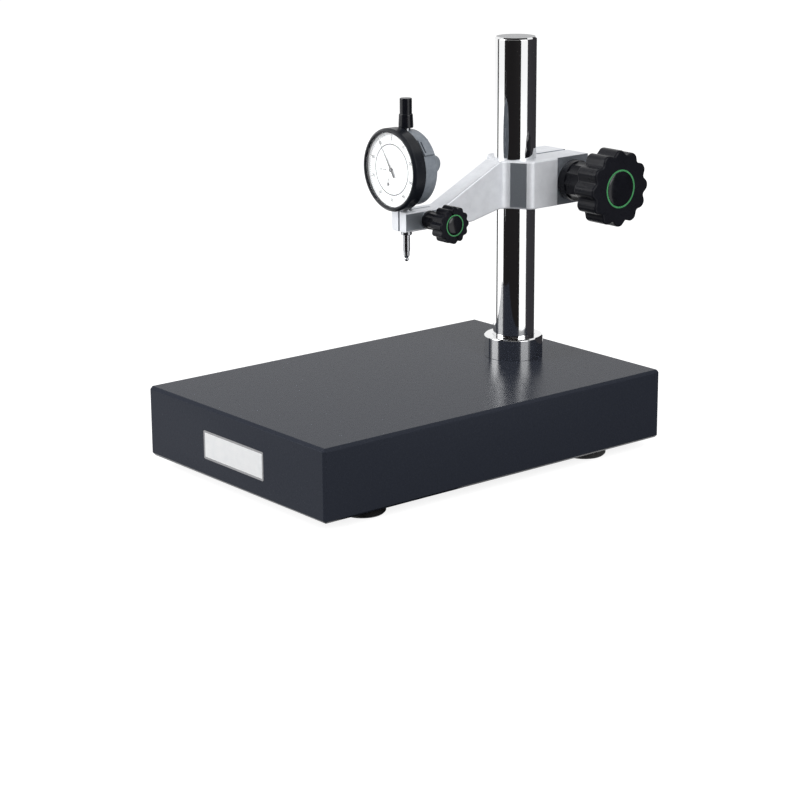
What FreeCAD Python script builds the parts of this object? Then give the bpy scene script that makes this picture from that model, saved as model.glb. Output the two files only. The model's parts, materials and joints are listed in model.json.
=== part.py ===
"""Comparator stand: granite plate, round column, clamping arm and dial gauge.

Millimetres. Z is up, the dial and the narrow end of the granite plate face -Y,
and both clamp knobs are on the +X side. The origin is the middle of the
surface that the rubber feet stand on. The gauge spindle lies on the Z axis.
"""

import FreeCAD, Part
import math
import os

import Sketcher
from FreeCAD import Placement, Rotation, Vector

# Driving dimensions, all in millimetres unless the name says otherwise.
SIZES = {
    # Granite plate
    "base_width": 200,
    "base_depth": 300,
    "base_height": 50,
    "base_chamfer": 2,
    # Rubber feet, their screws and the inserts in the granite
    "foot_radius": 15.5,
    "foot_height": 8,
    "foot_taper": 1.5,
    "foot_inset_side": 25,
    "foot_inset_end": 50,
    "foot_screw_radius": 3,
    "foot_head_radius": 5.2,
    "foot_head_height": 3.2,
    "foot_recess_depth": 4.5,
    "foot_head_chamfer": 1,
    "foot_socket_depth": 2,
    "insert_radius": 5,
    "insert_length": 16,
    "insert_spare": 1.5,
    # Column, its ring and its bolt
    "column_radius": 15,
    "column_height": 230,
    "column_chamfer": 1.2,
    "column_from_rear": 50,
    "ring_radius": 21.25,
    "ring_height": 15.6,
    "ring_chamfer": 0.9,
    "bolt_radius": 6,
    "bolt_engagement": 27,
    "bolt_head_radius": 9,
    "bolt_head_height": 12,
    "bolt_socket_radius": 5,
    "bolt_washer_radius": 15,
    "bolt_washer_thickness": 3,
    "bolt_recess_radius": 18,
    "bolt_recess_depth": 20,
    # Arm: clamp block round the column
    "arm_height": 127.5,
    "block_height": 34,
    "block_half_width": 24,
    "block_nose": 16,
    "block_shoulder": 5.8,
    "block_rear": 19,
    "ear_half_width": 22.5,
    "ear_length": 50,
    "ear_step": 1.5,
    "block_slit": 2.5,
    "block_screw_offset": 34,
    "nose_fillet": 6.5,
    "shoulder_fillet": 6.5,
    # Arm: sloping bar and split holder for the gauge
    "reach": 100,
    "arm_half_width": 7.75,
    "arm_edge_fillet": 1.2,
    "slope_start": 21.5,
    "slope_end": 72.8,
    "belly_start": 22,
    "belly_end": 46,
    "belly_fillet": 18,
    "slope_fillet": 8,
    "holder_drop": 8.5,
    "holder_height": 14,
    "holder_nose": 6.6,
    "holder_slit": 1.5,
    "holder_slit_depth": 28,
    "holder_screw_offset": 13,
    # Clamp screws and washers
    "block_screw_radius": 5,
    "block_washer_radius": 13,
    "block_washer_thickness": 1.5,
    "block_screw_spare": 2,
    "holder_screw_radius": 2.5,
    "holder_washer_radius": 6,
    "holder_washer_thickness": 0.8,
    "holder_screw_spare": 1,
    # Column clamp knob
    "knob_lobes": 12,
    "big_knob_radius": 27,
    "big_knob_thickness": 19,
    "big_knob_edge": 1,
    "big_knob_notch": 3.2,
    "big_knob_scallop": 6,
    "big_lobe_round": 2.4,
    "big_neck_radius": 14.5,
    "big_neck_length": 29,
    "big_neck_collar": 6,
    "big_neck_groove": 2.4,
    "big_trim_radius": 13.6,
    "big_trim_width": 1.2,
    "big_trim_depth": 2.5,
    "big_trim_proud": 0.3,
    "big_cap_dome": 1.6,
    # Gauge clamp knob
    "small_knob_radius": 12.9,
    "small_knob_thickness": 11,
    "small_knob_edge": 0.5,
    "small_knob_notch": 1.5,
    "small_knob_scallop": 2.9,
    "small_lobe_round": 1.1,
    "small_neck_radius": 6.5,
    "small_neck_length": 16.2,
    "small_neck_collar": 2.5,
    "small_neck_groove": 1.1,
    "small_trim_radius": 7.5,
    "small_trim_width": 0.8,
    "small_trim_depth": 1.6,
    "small_trim_proud": 0.2,
    "small_cap_dome": 1.4,
    # Gauge case and back; depths are counted forwards from the spindle axis
    "case_radius": 26,
    "case_wall": 1.4,
    "case_back": 4.9,
    "case_front": 5.2,
    "collar_radius": 25.2,
    "collar_bore": 23.4,
    "collar_front": 9.4,
    "back_thickness": 1.6,
    "back_spigot": 0.6,
    "back_chamfer": 0.6,
    "lug_width": 13,
    "lug_thickness": 6.4,
    "lug_reach": 21.5,
    "lug_hole_radius": 3.2,
    "back_screw_radius": 0.8,
    "back_screw_head": 1.6,
    "back_screw_head_height": 0.8,
    "back_screw_length": 2.2,
    "back_screw_circle": 22,
    "port_angle": 38,
    "port_length": 12,
    "port_width": 8.4,
    "port_height": 1.3,
    "port_slot_length": 8.5,
    "port_slot_width": 1.2,
    "port_slot_depth": 1.6,
    "port_slot_offset": 2.6,
    # Bezel, crystal and dial
    "bezel_radius": 28.5,
    "bezel_front": 15.6,
    "bezel_opening": 25.4,
    "bezel_lift": 1,
    "bezel_edge": 1.6,
    "bezel_lip": 0.5,
    "bezel_ledge": 0.6,
    "crystal_ledge": 1.4,
    "crystal_radius": 27,
    "crystal_back": 13.5,
    "crystal_thickness": 1.3,
    "dial_front": 12,
    "dial_thickness": 0.5,
    "dial_split_radius": 19.6,
    "dial_split_gap": 0.1,
    "dial_foot_radius": 1,
    "dial_foot_inset": 3,
    # Stem, spindle, contact and lifting cap
    "stem_radius": 4,
    "stem_below_holder": 3,
    "stem_inside": 3,
    "stem_chamfer": 0.4,
    "spindle_radius": 2.5,
    "spindle_below_stem": 11.8,
    "spindle_travel": 10,
    "spindle_top_radius": 2,
    "contact_collar_radius": 2.15,
    "contact_collar_length": 2.7,
    "contact_neck_radius": 1.1,
    "contact_neck_length": 0.8,
    "contact_ball_radius": 1.5,
    "contact_length": 7,
    "contact_thread_radius": 1.25,
    "contact_thread_length": 5,
    "bushing_radius": 3.2,
    "bushing_top": 27.4,
    "bushing_shoulder": 0.8,
    "cap_gap": 0.3,
    "cap_flange_radius": 5.15,
    "cap_flange_height": 9.1,
    "cap_flange_rim": 2,
    "cap_shoulder_radius": 4.8,
    "cap_shoulder": 0.3,
    "cap_radius": 4.25,
    "cap_height": 20.1,
    "cap_chamfer": 0.5,
    # Movement: rack and two-step gear train
    "gear_module": 0.2,
    "wheel_teeth": 100,
    "centre_teeth": 10,
    "counter_teeth": 16,
    "counter_shift": 3.6,
    "wheel_thickness": 0.4,
    "wheel_depth": 3.6,
    "pinion_length": 2.4,
    "centre_pinion_length": 1,
    "arbor_radius": 0.5,
    "arbor_end": 0.2,
    "plate_thickness": 1,
    "plate_depth": 4.6,
    "bridge_thickness": 0.8,
    "bridge_depth": 4,
    "bridge_width": 5,
    "wheel_clearance": 0.6,
    "cock_thickness": 0.6,
    "cock_depth": 2.7,
    "cock_width": 4,
    "cock_reach": 9.4,
    "cock_overhang": 3,
    "pillar_radius": 1.3,
    "hand_depth": 12.9,
    "hand_angle": 34,
    "hand_thickness": 0.2,
    "hand_length": 21,
    "hand_tail": 6,
    "hand_half_width": 0.8,
    "hand_point": 0.08,
    "hand_hub_radius": 1.5,
    "small_hand_angle": 0,
    "small_hand_length": 4.2,
    "small_hand_tail": 1.2,
    "small_hand_half_width": 0.4,
    "small_hand_hub_radius": 0.9,
    "small_hand_drop": 0.5,
    "hub_rear": 0.3,
    "hub_front": 0.2,
    # Fits, and how far a cut runs past the face that it leaves
    "running_gap": 0.05,
    "bond_gap": 0.02,
    "seat_gap": 0.3,
    "screw_clearance": 0.3,
    "head_clearance": 0.6,
    "bolt_clearance": 1,
    "screw_point": 0.8,
    "thread_runout": 3,
    "cut_over": 1,
}

# Sizes that follow from the driving ones.
DERIVED = {
    "base_top": "foot_height + base_height",
    "foot_screw_length": "foot_height - foot_recess_depth + insert_length - insert_spare",
    "bolt_length": "base_height - bolt_recess_depth + bolt_washer_thickness + bolt_engagement",
    "foot_x": "base_width / 2 - foot_inset_side",
    "foot_y": "base_depth / 2 - foot_inset_end",
    "arm_level": "foot_height + base_height + arm_height",
    "holder_top": "arm_level - holder_drop",
    "holder_bottom": "holder_top - holder_height",
    "holder_middle": "holder_top - holder_height / 2",
    "column_offset": "base_depth / 2 - column_from_rear",
    "gauge_y": "column_offset - reach",
    "dial_level": "holder_top + bezel_lift + bezel_radius",
    "stem_top": "-(case_radius - stem_inside)",
    "stem_bottom": "holder_bottom - stem_below_holder - dial_level",
    "spindle_bottom": "stem_bottom - spindle_below_stem",
    "contact_tip": "spindle_bottom - contact_length",
    "bushing_foot": "case_radius - case_wall - 2 * bushing_shoulder",
    "bolt_seat": "foot_height + bolt_recess_depth - bolt_washer_thickness - running_gap",
    "dial_back": "dial_front - dial_thickness",
    "plate_front": "plate_depth + plate_thickness",
    "cap_bottom": "bushing_top + cap_gap",
    "big_knob_x": "ear_half_width + block_washer_thickness + seat_gap",
    "small_knob_x": "arm_half_width + holder_washer_thickness + seat_gap",
    "rack_pitch": "spindle_travel / counter_teeth",
    "rack_module": "rack_pitch / 3.14159265",
    "counter_pitch_radius": "rack_module * counter_teeth / 2",
    "wheel_pitch_radius": "gear_module * wheel_teeth / 2",
    "centre_pitch_radius": "gear_module * centre_teeth / 2",
    "centre_distance": "wheel_pitch_radius + centre_pitch_radius",
    "counter_drop": "sqrt(centre_distance * centre_distance - counter_shift * counter_shift)",
    "rack_line": "counter_shift - counter_pitch_radius",
}

doc = FreeCAD.newDocument("ComparatorStand")
sheet = doc.addObject("Spreadsheet::Sheet", "Sizes")


def fill_sheet():
    """Write every size into the sheet, one row each, and name its cell."""
    row = 0
    for name, number in SIZES.items():
        row += 1
        sheet.set(f"A{row}", name)
        sheet.set(f"B{row}", str(number))
        sheet.setAlias(f"B{row}", name)
    for name, formula in DERIVED.items():
        row += 1
        sheet.set(f"A{row}", name)
        sheet.set(f"B{row}", "=" + formula)
        sheet.setAlias(f"B{row}", name)
    doc.recompute()


def linked(text):
    """The same expression with every size read from the sheet."""
    words = []
    word = ""
    for letter in str(text) + " ":
        if letter.isalnum() or letter == "_" or letter == ".":
            word += letter
            continue
        if word in SIZES or word in DERIVED:
            word = "Sizes." + word
        words.append(word + letter)
        word = ""
    return "".join(words).strip()


def value(text):
    """The number that an expression of sizes gives."""
    return float(sheet.evalExpression(str(text)))


def bind(thing, **expressions):
    """Tie properties of an object to expressions of sizes."""
    for name, text in expressions.items():
        thing.setExpression(name, linked(text))


def bind_base(thing, at):
    """Tie the place of an object to three expressions of sizes."""
    for axis, text in zip("xyz", at):
        thing.setExpression("Placement.Base." + axis, linked(text))


# Rotations that turn a local Z axis into the named direction.
UP = Rotation()
RIGHT = Rotation(Vector(0, 1, 0), 90)
FRONT = Rotation(Vector(1, 0, 0), 90)


def new_body(label, at=(0, 0, 0), turn=UP):
    """A body for one piece, placed in the stand's frame."""
    body = doc.addObject("PartDesign::Body", label)
    body.Label = label
    body.Placement = Placement(Vector(), turn)
    bind_base(body, at)
    return body


def origin_part(body, role):
    """One of the body's own origin planes or axes."""
    return next(part for part in body.Origin.OriginFeatures if part.Role == role)


def new_sketch(body, plane, name):
    """An empty sketch on one of the body's origin planes."""
    sketch = body.newObject("Sketcher::SketchObject", name)
    sketch.AttachmentSupport = [(origin_part(body, plane), "")]
    sketch.MapMode = "FlatFace"
    return sketch


def draw_outline(sketch, corners):
    """A closed outline of straight lines, each corner held by two expressions."""
    points = [Vector(value(across), value(along), 0) for across, along in corners]
    first = sketch.GeometryCount
    count = len(points)
    for index, start in enumerate(points):
        sketch.addGeometry(Part.LineSegment(start, points[(index + 1) % count]), False)
    for index in range(count):
        after = first + (index + 1) % count
        sketch.addConstraint(Sketcher.Constraint("Coincident", first + index, 2, after, 1))
    for index, corner in enumerate(corners):
        for kind, text in zip(("DistanceX", "DistanceY"), corner):
            rule = Sketcher.Constraint(kind, first + index, 1, value(text))
            number = sketch.addConstraint(rule)
            sketch.setExpression(f"Constraints[{number}]", linked(text))


def turned(body, name, corners):
    """Revolve a half section, given as radius and height, about the local Z axis."""
    sketch = new_sketch(body, "XZ_Plane", name + "Section")
    draw_outline(sketch, corners)
    turn = body.newObject("PartDesign::Revolution", name)
    turn.Profile = sketch
    turn.ReferenceAxis = (sketch, ["V_Axis"])
    turn.Angle = 360
    doc.recompute()
    return turn


def padded(body, name, plane, corners, length):
    """Pad an outline by half the length to each side of its plane."""
    sketch = new_sketch(body, plane, name + "Outline")
    draw_outline(sketch, corners)
    pad = body.newObject("PartDesign::Pad", name)
    pad.Profile = sketch
    pad.SideType = "Symmetric"
    bind(pad, Length=length)
    doc.recompute()
    return pad


def cylinder(body, name, radius, length, at, turn=UP, cut=True):
    """A round boss, or with cut a round hole, that starts at a point."""
    kind = "PartDesign::SubtractiveCylinder" if cut else "PartDesign::AdditiveCylinder"
    rod = body.newObject(kind, name)
    rod.Placement = Placement(Vector(), turn)
    bind(rod, Radius=radius, Height=length)
    bind_base(rod, at)
    doc.recompute()
    return rod


def block(body, name, size, at, turn=UP, cut=True):
    """A square boss, or with cut a square slot, from its lowest corner."""
    kind = "PartDesign::SubtractiveBox" if cut else "PartDesign::AdditiveBox"
    box = body.newObject(kind, name)
    box.Placement = Placement(Vector(), turn)
    bind(box, Length=size[0], Width=size[1], Height=size[2])
    bind_base(box, at)
    doc.recompute()
    return box


def repeat_round(body, name, feature, count):
    """Repeat a feature round the local Z axis."""
    pattern = body.newObject("PartDesign::PolarPattern", name)
    pattern.Originals = [feature]
    pattern.Axis = (origin_part(body, "Z_Axis"), [""])
    pattern.Angle = 360
    bind(pattern, Occurrences=count)
    body.Tip = pattern
    doc.recompute()
    return pattern


def edge_names(feature, wanted):
    """The names of the edges whose ends and middle pass a test."""
    names = []
    for number, edge in enumerate(feature.Shape.Edges, start=1):
        middle = edge.valueAt((edge.FirstParameter + edge.LastParameter) / 2)
        ends = [vertex.Point for vertex in edge.Vertexes]
        if wanted(middle, ends):
            names.append(f"Edge{number}")
    return names


def rounded(body, name, radius, wanted):
    """Fillet the edges that pass a test."""
    base = body.Tip
    fillet = body.newObject("PartDesign::Fillet", name)
    fillet.Base = (base, edge_names(base, wanted))
    bind(fillet, Radius=radius)
    doc.recompute()
    return fillet


def bevelled(body, name, size, wanted):
    """Chamfer the edges that pass a test."""
    base = body.Tip
    chamfer = body.newObject("PartDesign::Chamfer", name)
    chamfer.Base = (base, edge_names(base, wanted))
    bind(chamfer, Size=size)
    doc.recompute()
    return chamfer


def near(first, second):
    """Whether two lengths are the same."""
    return abs(first - second) < 1e-4


FOOT_CORNERS = {
    "front_left": (-1, -1),
    "front_right": (1, -1),
    "rear_left": (-1, 1),
    "rear_right": (1, 1),
}


def granite_base():
    """The granite plate with its bolt hole and its four insert holes."""
    body = new_body("granite_base", (0, 0, "foot_height + base_height / 2"))
    half_width = "base_width / 2"
    half_depth = "base_depth / 2"
    corners = [
        (f"-{half_width}", f"-{half_depth}"),
        (half_width, f"-{half_depth}"),
        (half_width, half_depth),
        (f"-{half_width}", half_depth),
    ]
    padded(body, "Plate", "XY_Plane", corners, "base_height")
    bevelled(body, "Edges", "base_chamfer", lambda middle, ends: True)
    hole = ("0", "column_offset", "-base_height")
    cylinder(body, "BoltHole", "bolt_radius + bolt_clearance", "2 * base_height", hole)
    below = "-base_height / 2 - cut_over"
    recess = ("0", "column_offset", below)
    cylinder(body, "BoltRecess", "bolt_recess_radius", "bolt_recess_depth + cut_over", recess)
    for name, (side, end) in FOOT_CORNERS.items():
        place = (f"{side} * foot_x", f"{end} * foot_y", below)
        depth = "insert_length + bond_gap + cut_over"
        cylinder(body, "Insert_" + name, "insert_radius + bond_gap", depth, place)
    return body


def rubber_foot(name, side, end):
    """One rubber foot, tapered to the floor, with a recess for its screw head."""
    place = (f"{side} * foot_x", f"{end} * foot_y", "0")
    body = new_body("foot_" + name, place)
    hole = "foot_screw_radius + screw_clearance"
    recess = "foot_head_radius + head_clearance"
    turned(body, "Foot", [
        (recess, "0"),
        ("foot_radius - foot_taper", "0"),
        ("foot_radius", "foot_taper"),
        ("foot_radius", "foot_height"),
        (hole, "foot_height"),
        (hole, "foot_recess_depth"),
        (recess, "foot_recess_depth"),
    ])
    return body


def foot_screw(name, side, end):
    """One pan-head screw through a foot into its insert."""
    place = (f"{side} * foot_x", f"{end} * foot_y", "foot_recess_depth")
    body = new_body("screw_" + name, place)
    shank = "foot_screw_radius - running_gap"
    turned(body, "Screw", [
        ("0", "-foot_head_height"),
        ("foot_head_radius - foot_head_chamfer", "-foot_head_height"),
        ("foot_head_radius", "-foot_head_height + foot_head_chamfer"),
        ("foot_head_radius", "0"),
        (shank, "0"),
        (shank, "foot_screw_length - screw_point"),
        (shank + " - screw_point", "foot_screw_length"),
        ("0", "foot_screw_length"),
    ])
    socket = ("0", "0", "-foot_head_height - cut_over")
    cylinder(body, "Socket", "foot_screw_radius / 2", "foot_socket_depth + cut_over", socket)
    return body


def foot_insert(name, side, end):
    """One threaded brass sleeve bonded into the granite."""
    place = (f"{side} * foot_x", f"{end} * foot_y", "foot_height")
    body = new_body("insert_" + name, place)
    turned(body, "Sleeve", [
        ("foot_screw_radius", "0"),
        ("insert_radius", "0"),
        ("insert_radius", "insert_length"),
        ("foot_screw_radius", "insert_length"),
    ])
    return body


def gathered(label, pieces):
    """Several like pieces as one group of separate solids."""
    group = doc.addObject("Part::Compound", label)
    group.Label = label
    group.Links = pieces
    doc.recompute()
    return group


def column_ring():
    """The chromed ring on the granite that locates the foot of the column."""
    body = new_body("column_ring", (0, "column_offset", "base_top"))
    bore = "column_radius + running_gap"
    turned(body, "Ring", [
        (bore, "0"),
        ("ring_radius", "0"),
        ("ring_radius", "ring_height - ring_chamfer"),
        ("ring_radius - ring_chamfer", "ring_height"),
        (bore, "ring_height"),
    ])
    return body


def column():
    """The round column with a tapped hole in its foot."""
    body = new_body("column", (0, "column_offset", "base_top"))
    turned(body, "Post", [
        ("0", "bolt_engagement + thread_runout"),
        ("bolt_radius", "bolt_engagement + thread_runout"),
        ("bolt_radius", "running_gap"),
        ("column_radius - column_chamfer", "running_gap"),
        ("column_radius", "running_gap + column_chamfer"),
        ("column_radius", "column_height - column_chamfer"),
        ("column_radius - column_chamfer", "column_height"),
        ("0", "column_height"),
    ])
    return body


def column_bolt():
    """The socket screw that pulls the column down on to the granite."""
    body = new_body("column_bolt", (0, "column_offset", "bolt_seat"))
    shank = "bolt_radius - running_gap"
    turned(body, "Bolt", [
        ("0", "-bolt_head_height"),
        ("bolt_head_radius", "-bolt_head_height"),
        ("bolt_head_radius", "0"),
        (shank, "0"),
        (shank, "bolt_length - screw_point"),
        (shank + " - screw_point", "bolt_length"),
        ("0", "bolt_length"),
    ])
    socket = ("0", "0", "-bolt_head_height - cut_over")
    cylinder(body, "Socket", "bolt_socket_radius", "bolt_head_height / 2 + cut_over", socket)
    return body


def column_washer():
    """The washer between the bolt's head and the granite."""
    body = new_body("column_washer", (0, "column_offset", "bolt_seat"))
    turned(body, "Washer", [
        ("bolt_radius + screw_clearance", "0"),
        ("bolt_washer_radius", "0"),
        ("bolt_washer_radius", "bolt_washer_thickness"),
        ("bolt_radius + screw_clearance", "bolt_washer_thickness"),
    ])
    return body


def arm():
    """The cast arm: split clamp block, sloping bar and split gauge holder."""
    body = new_body("arm", (0, "column_offset", "arm_level"))
    high = "block_height / 2"
    front = "-(reach + holder_nose)"
    side_view = [
        ("0", high),
        ("-slope_start", high),
        ("-slope_end", "-holder_drop"),
        (front, "-holder_drop"),
        (front, "-(holder_drop + holder_height)"),
        ("-belly_end", "-(holder_drop + holder_height)"),
        ("-belly_start", "-block_height / 2"),
        ("0", "-block_height / 2"),
    ]
    padded(body, "Bar", "YZ_Plane", side_view, "2 * arm_half_width")

    rear = "block_rear + ear_step"
    right_side = [
        ("arm_half_width", "-block_nose"),
        ("block_half_width", "-block_shoulder"),
        ("block_half_width", "block_rear"),
        ("ear_half_width", rear),
        ("ear_half_width", "ear_length"),
    ]
    left_side = [(f"-{across}", along) for across, along in reversed(right_side)]
    padded(body, "Block", "XY_Plane", right_side + left_side, "block_height")

    def upright(across, along):
        def wanted(middle, ends):
            return near(abs(middle.x), value(across)) and near(middle.y, value(along))
        return wanted

    rounded(body, "Shoulders", "shoulder_fillet", upright("block_half_width", "-block_shoulder"))
    rounded(body, "Nose", "nose_fillet", upright("arm_half_width", "-block_nose"))

    def cross_edge(corner):
        row, height = (value(text) for text in side_view[corner])

        def wanted(middle, ends):
            return near(middle.y, row) and near(middle.z, height)
        return wanted

    rounded(body, "BellyRear", "belly_fillet", cross_edge(6))
    rounded(body, "BellyFront", "belly_fillet", cross_edge(5))
    rounded(body, "SlopeFoot", "slope_fillet", cross_edge(2))

    half = value("arm_half_width")

    def long_edge(middle, ends):
        lengthwise = abs(ends[0].y - ends[-1].y) > 0.5
        return near(abs(middle.x), half) and lengthwise

    rounded(body, "BarEdges", "arm_edge_fillet", long_edge)

    cylinder(body, "ColumnBore", "column_radius + running_gap", "2 * block_height",
             ("0", "0", "-block_height"))
    block(body, "BlockSlit", ("block_slit", "ear_length + cut_over", "2 * block_height"),
          ("-block_slit / 2", "0", "-block_height"))
    screw = ("0", "block_screw_offset", "0")
    cylinder(body, "BlockScrewHole", "block_screw_radius + screw_clearance",
             "2 * block_half_width", screw, RIGHT)
    cylinder(body, "BlockThread", "block_screw_radius", "2 * block_half_width",
             ("-2 * block_half_width", "block_screw_offset", "0"), RIGHT)
    stem = ("0", "-reach", "-2 * block_height")
    cylinder(body, "StemBore", "stem_radius + running_gap", "3 * block_height", stem)
    slit = ("holder_slit", "holder_slit_depth + cut_over", "2 * block_height")
    block(body, "HolderSlit", slit,
          ("-holder_slit / 2", front + " - cut_over", "-2 * block_height"))
    row = "-(reach - holder_screw_offset)"
    level = "-(holder_drop + holder_height / 2)"
    cylinder(body, "HolderScrewHole", "holder_screw_radius + screw_clearance",
             "2 * arm_half_width", ("0", row, level), RIGHT)
    cylinder(body, "HolderThread", "holder_screw_radius", "2 * arm_half_width",
             ("-2 * arm_half_width", row, level), RIGHT)
    return body


def clamp_washer(label, radius, bore, thickness, at):
    """A steel washer under the neck of a clamp knob."""
    body = new_body(label, at, RIGHT)
    turned(body, "Washer", [
        (bore, "0"),
        (radius, "0"),
        (radius, thickness),
        (bore, thickness),
    ])
    return body


def lobed_knob(label, size, screw_radius, at):
    """A moulded clamp knob: ribbed neck and a head with rounded lobes.

    The hollows between the lobes start half a lobe away from the axis, so that
    a lobe points straight up and straight forward.
    """
    body = new_body(label, at, RIGHT)
    neck = f"{size}_neck_length"
    top = f"({size}_neck_length + {size}_knob_thickness)"
    radius = f"{size}_knob_radius"
    seat = f"{size}_trim_radius + bond_gap"
    floor = f"{top} - {size}_trim_depth"
    bore = f"{screw_radius} + bond_gap"
    turned(body, "Knob", [
        ("0", f"{neck} + {size}_knob_thickness / 2"),
        (bore, f"{neck} + {size}_knob_thickness / 2"),
        (bore, "0"),
        (f"{size}_neck_radius", "0"),
        (f"{size}_neck_radius", neck),
        (radius, neck),
        (radius, top),
        (seat, top),
        (seat, floor),
        ("0", floor),
    ])
    centre = f"({radius} - {size}_knob_notch + {size}_knob_scallop)"
    half_lobe = "(180 / knob_lobes)"
    start = (f"{centre} * cos({half_lobe})", f"{centre} * sin({half_lobe})",
             f"{neck} - cut_over")
    scallop = cylinder(body, "Scallop", f"{size}_knob_scallop",
                       f"{size}_knob_thickness + 2 * cut_over", start)
    repeat_round(body, "Scallops", scallop, "knob_lobes")

    def lobe_corner(middle, ends):
        along = abs(ends[0].z - ends[-1].z)
        across = (middle.x ** 2 + middle.y ** 2) ** 0.5
        return near(along, value(f"{size}_knob_thickness")) and near(across, value(radius))

    def rim(middle, ends):
        flat = near(ends[0].z, ends[-1].z) and near(middle.z, ends[0].z)
        at_rim = near(middle.z, value(top)) or near(middle.z, value(neck))
        across = (middle.x ** 2 + middle.y ** 2) ** 0.5
        return flat and at_rim and across > value(f"{radius} - {size}_knob_notch - cut_over")

    rounded(body, "Lobes", f"{size}_lobe_round", lobe_corner)
    bevelled(body, "Rim", f"{size}_knob_edge", rim)
    start = (f"{size}_neck_radius + {size}_neck_groove / 2", "0", f"{size}_neck_collar")
    groove = cylinder(body, "NeckGroove", f"{size}_neck_groove",
                      f"{neck} - {size}_neck_collar", start)
    repeat_round(body, "NeckGrooves", groove, "knob_lobes")
    return body


def knob_trim(label, size, at):
    """The coloured ring let into the face of a knob."""
    body = new_body(label, at, RIGHT)
    top = f"({size}_neck_length + {size}_knob_thickness)"
    inner = f"{size}_trim_radius - {size}_trim_width"
    turned(body, "Ring", [
        (inner, f"{top} - {size}_trim_depth"),
        (f"{size}_trim_radius", f"{top} - {size}_trim_depth"),
        (f"{size}_trim_radius", f"{top} + {size}_trim_proud"),
        (inner, f"{top} + {size}_trim_proud"),
    ])
    return body


def knob_cap(label, size, at):
    """The domed cap inside the ring, covering the head of the screw."""
    body = new_body(label, at, RIGHT)
    top = f"({size}_neck_length + {size}_knob_thickness)"
    radius = f"({size}_trim_radius - {size}_trim_width - bond_gap)"
    dome = f"{size}_cap_dome"
    outline = [("0", f"{top} - {size}_trim_depth"), (radius, f"{top} - {size}_trim_depth")]
    steps = 4
    for step in range(steps + 1):
        angle = 90 * step / steps
        across = f"{radius} * cos({angle})" if step < steps else "0"
        outline.append((across, f"{top} + {dome} * sin({angle})"))
    turned(body, "Cap", outline)
    return body


def clamp_screw(label, radius, length, inside, at):
    """The clamp screw, fixed in its knob, seen from the knob's inner end."""
    body = new_body(label, at, RIGHT)
    shank = f"{radius} - running_gap"
    turned(body, "Screw", [
        ("0", f"-{length}"),
        (f"{shank} - screw_point", f"-{length}"),
        (shank, f"-{length} + screw_point"),
        (shank, "0"),
        (radius, "0"),
        (radius, inside),
        ("0", inside),
    ])
    return body


def gauge_case():
    """The case ring with the collar that the bezel turns on, and the lever port."""
    body = new_body("gauge_case", (0, "gauge_y", "dial_level"), FRONT)
    wall = "case_radius - case_wall"
    turned(body, "Case", [
        (wall, "-case_back"),
        ("case_radius", "-case_back"),
        ("case_radius", "case_front"),
        ("collar_radius", "case_front"),
        ("collar_radius", "collar_front"),
        ("collar_bore", "collar_front"),
        ("collar_bore", "plate_front"),
        (wall, "plate_front"),
    ])
    radial = Rotation(Vector(0, 0, 1), value("port_angle"))
    angle = "port_angle"
    inner = "(case_radius - case_wall / 2)"
    half = "(port_length / 2)"
    pad = ("case_wall / 2 + port_height", "port_length", "port_width")
    corner = (
        f"{inner} * cos({angle}) + {half} * sin({angle})",
        f"{inner} * sin({angle}) - {half} * cos({angle})",
        "-port_width / 2",
    )
    block(body, "LeverPort", pad, corner, radial, cut=False)
    outer = "(case_radius + port_height - port_slot_depth)"
    half = "(port_slot_length / 2)"
    slot = ("port_slot_depth + cut_over", "port_slot_length", "port_slot_width")
    corner = (
        f"{outer} * cos({angle}) + {half} * sin({angle})",
        f"{outer} * sin({angle}) - {half} * cos({angle})",
        "port_slot_offset - port_slot_width / 2",
    )
    block(body, "LeverSlot", slot, corner, radial)
    down = Rotation(Vector(1, 0, 0), 90)
    cylinder(body, "StemHole", "stem_radius + bond_gap", "2 * case_radius", ("0", "0", "0"), down)
    up = Rotation(Vector(1, 0, 0), -90)
    cylinder(body, "BushingHole", "bushing_radius + bond_gap", "2 * case_radius",
             ("0", "0", "0"), up)
    return body


BACK_SCREW_ANGLES = (45, 135, 225, 315)


def gauge_back():
    """The back cover with its fixing lug."""
    body = new_body("gauge_back", (0, "gauge_y", "dial_level"), FRONT)
    inside = "case_radius - case_wall - bond_gap"
    turned(body, "Cover", [
        ("0", "-(case_back + back_thickness)"),
        ("case_radius - back_chamfer", "-(case_back + back_thickness)"),
        ("case_radius", "-(case_back + back_thickness) + back_chamfer"),
        ("case_radius", "-(case_back + bond_gap)"),
        (inside, "-(case_back + bond_gap)"),
        (inside, "-(case_back - back_spigot)"),
        ("0", "-(case_back - back_spigot)"),
    ])
    size = ("lug_thickness", "lug_width", "lug_reach - case_back")
    corner = ("-lug_thickness / 2", "-lug_width / 2", "-lug_reach")
    block(body, "Lug", size, corner, cut=False)
    end = ("-lug_thickness / 2", "0", "-lug_reach")
    cylinder(body, "LugEnd", "lug_width / 2", "lug_thickness", end, RIGHT, cut=False)
    through = ("-lug_thickness", "0", "-lug_reach")
    cylinder(body, "LugHole", "lug_hole_radius", "2 * lug_thickness", through, RIGHT)
    for number, angle in enumerate(BACK_SCREW_ANGLES):
        place = (f"back_screw_circle * cos({angle})", f"back_screw_circle * sin({angle})",
                 "-(case_back + back_thickness + cut_over)")
        cylinder(body, f"ScrewHole{number}", "back_screw_radius + bond_gap",
                 "back_thickness + back_spigot + 2 * cut_over", place)
    return body


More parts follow.
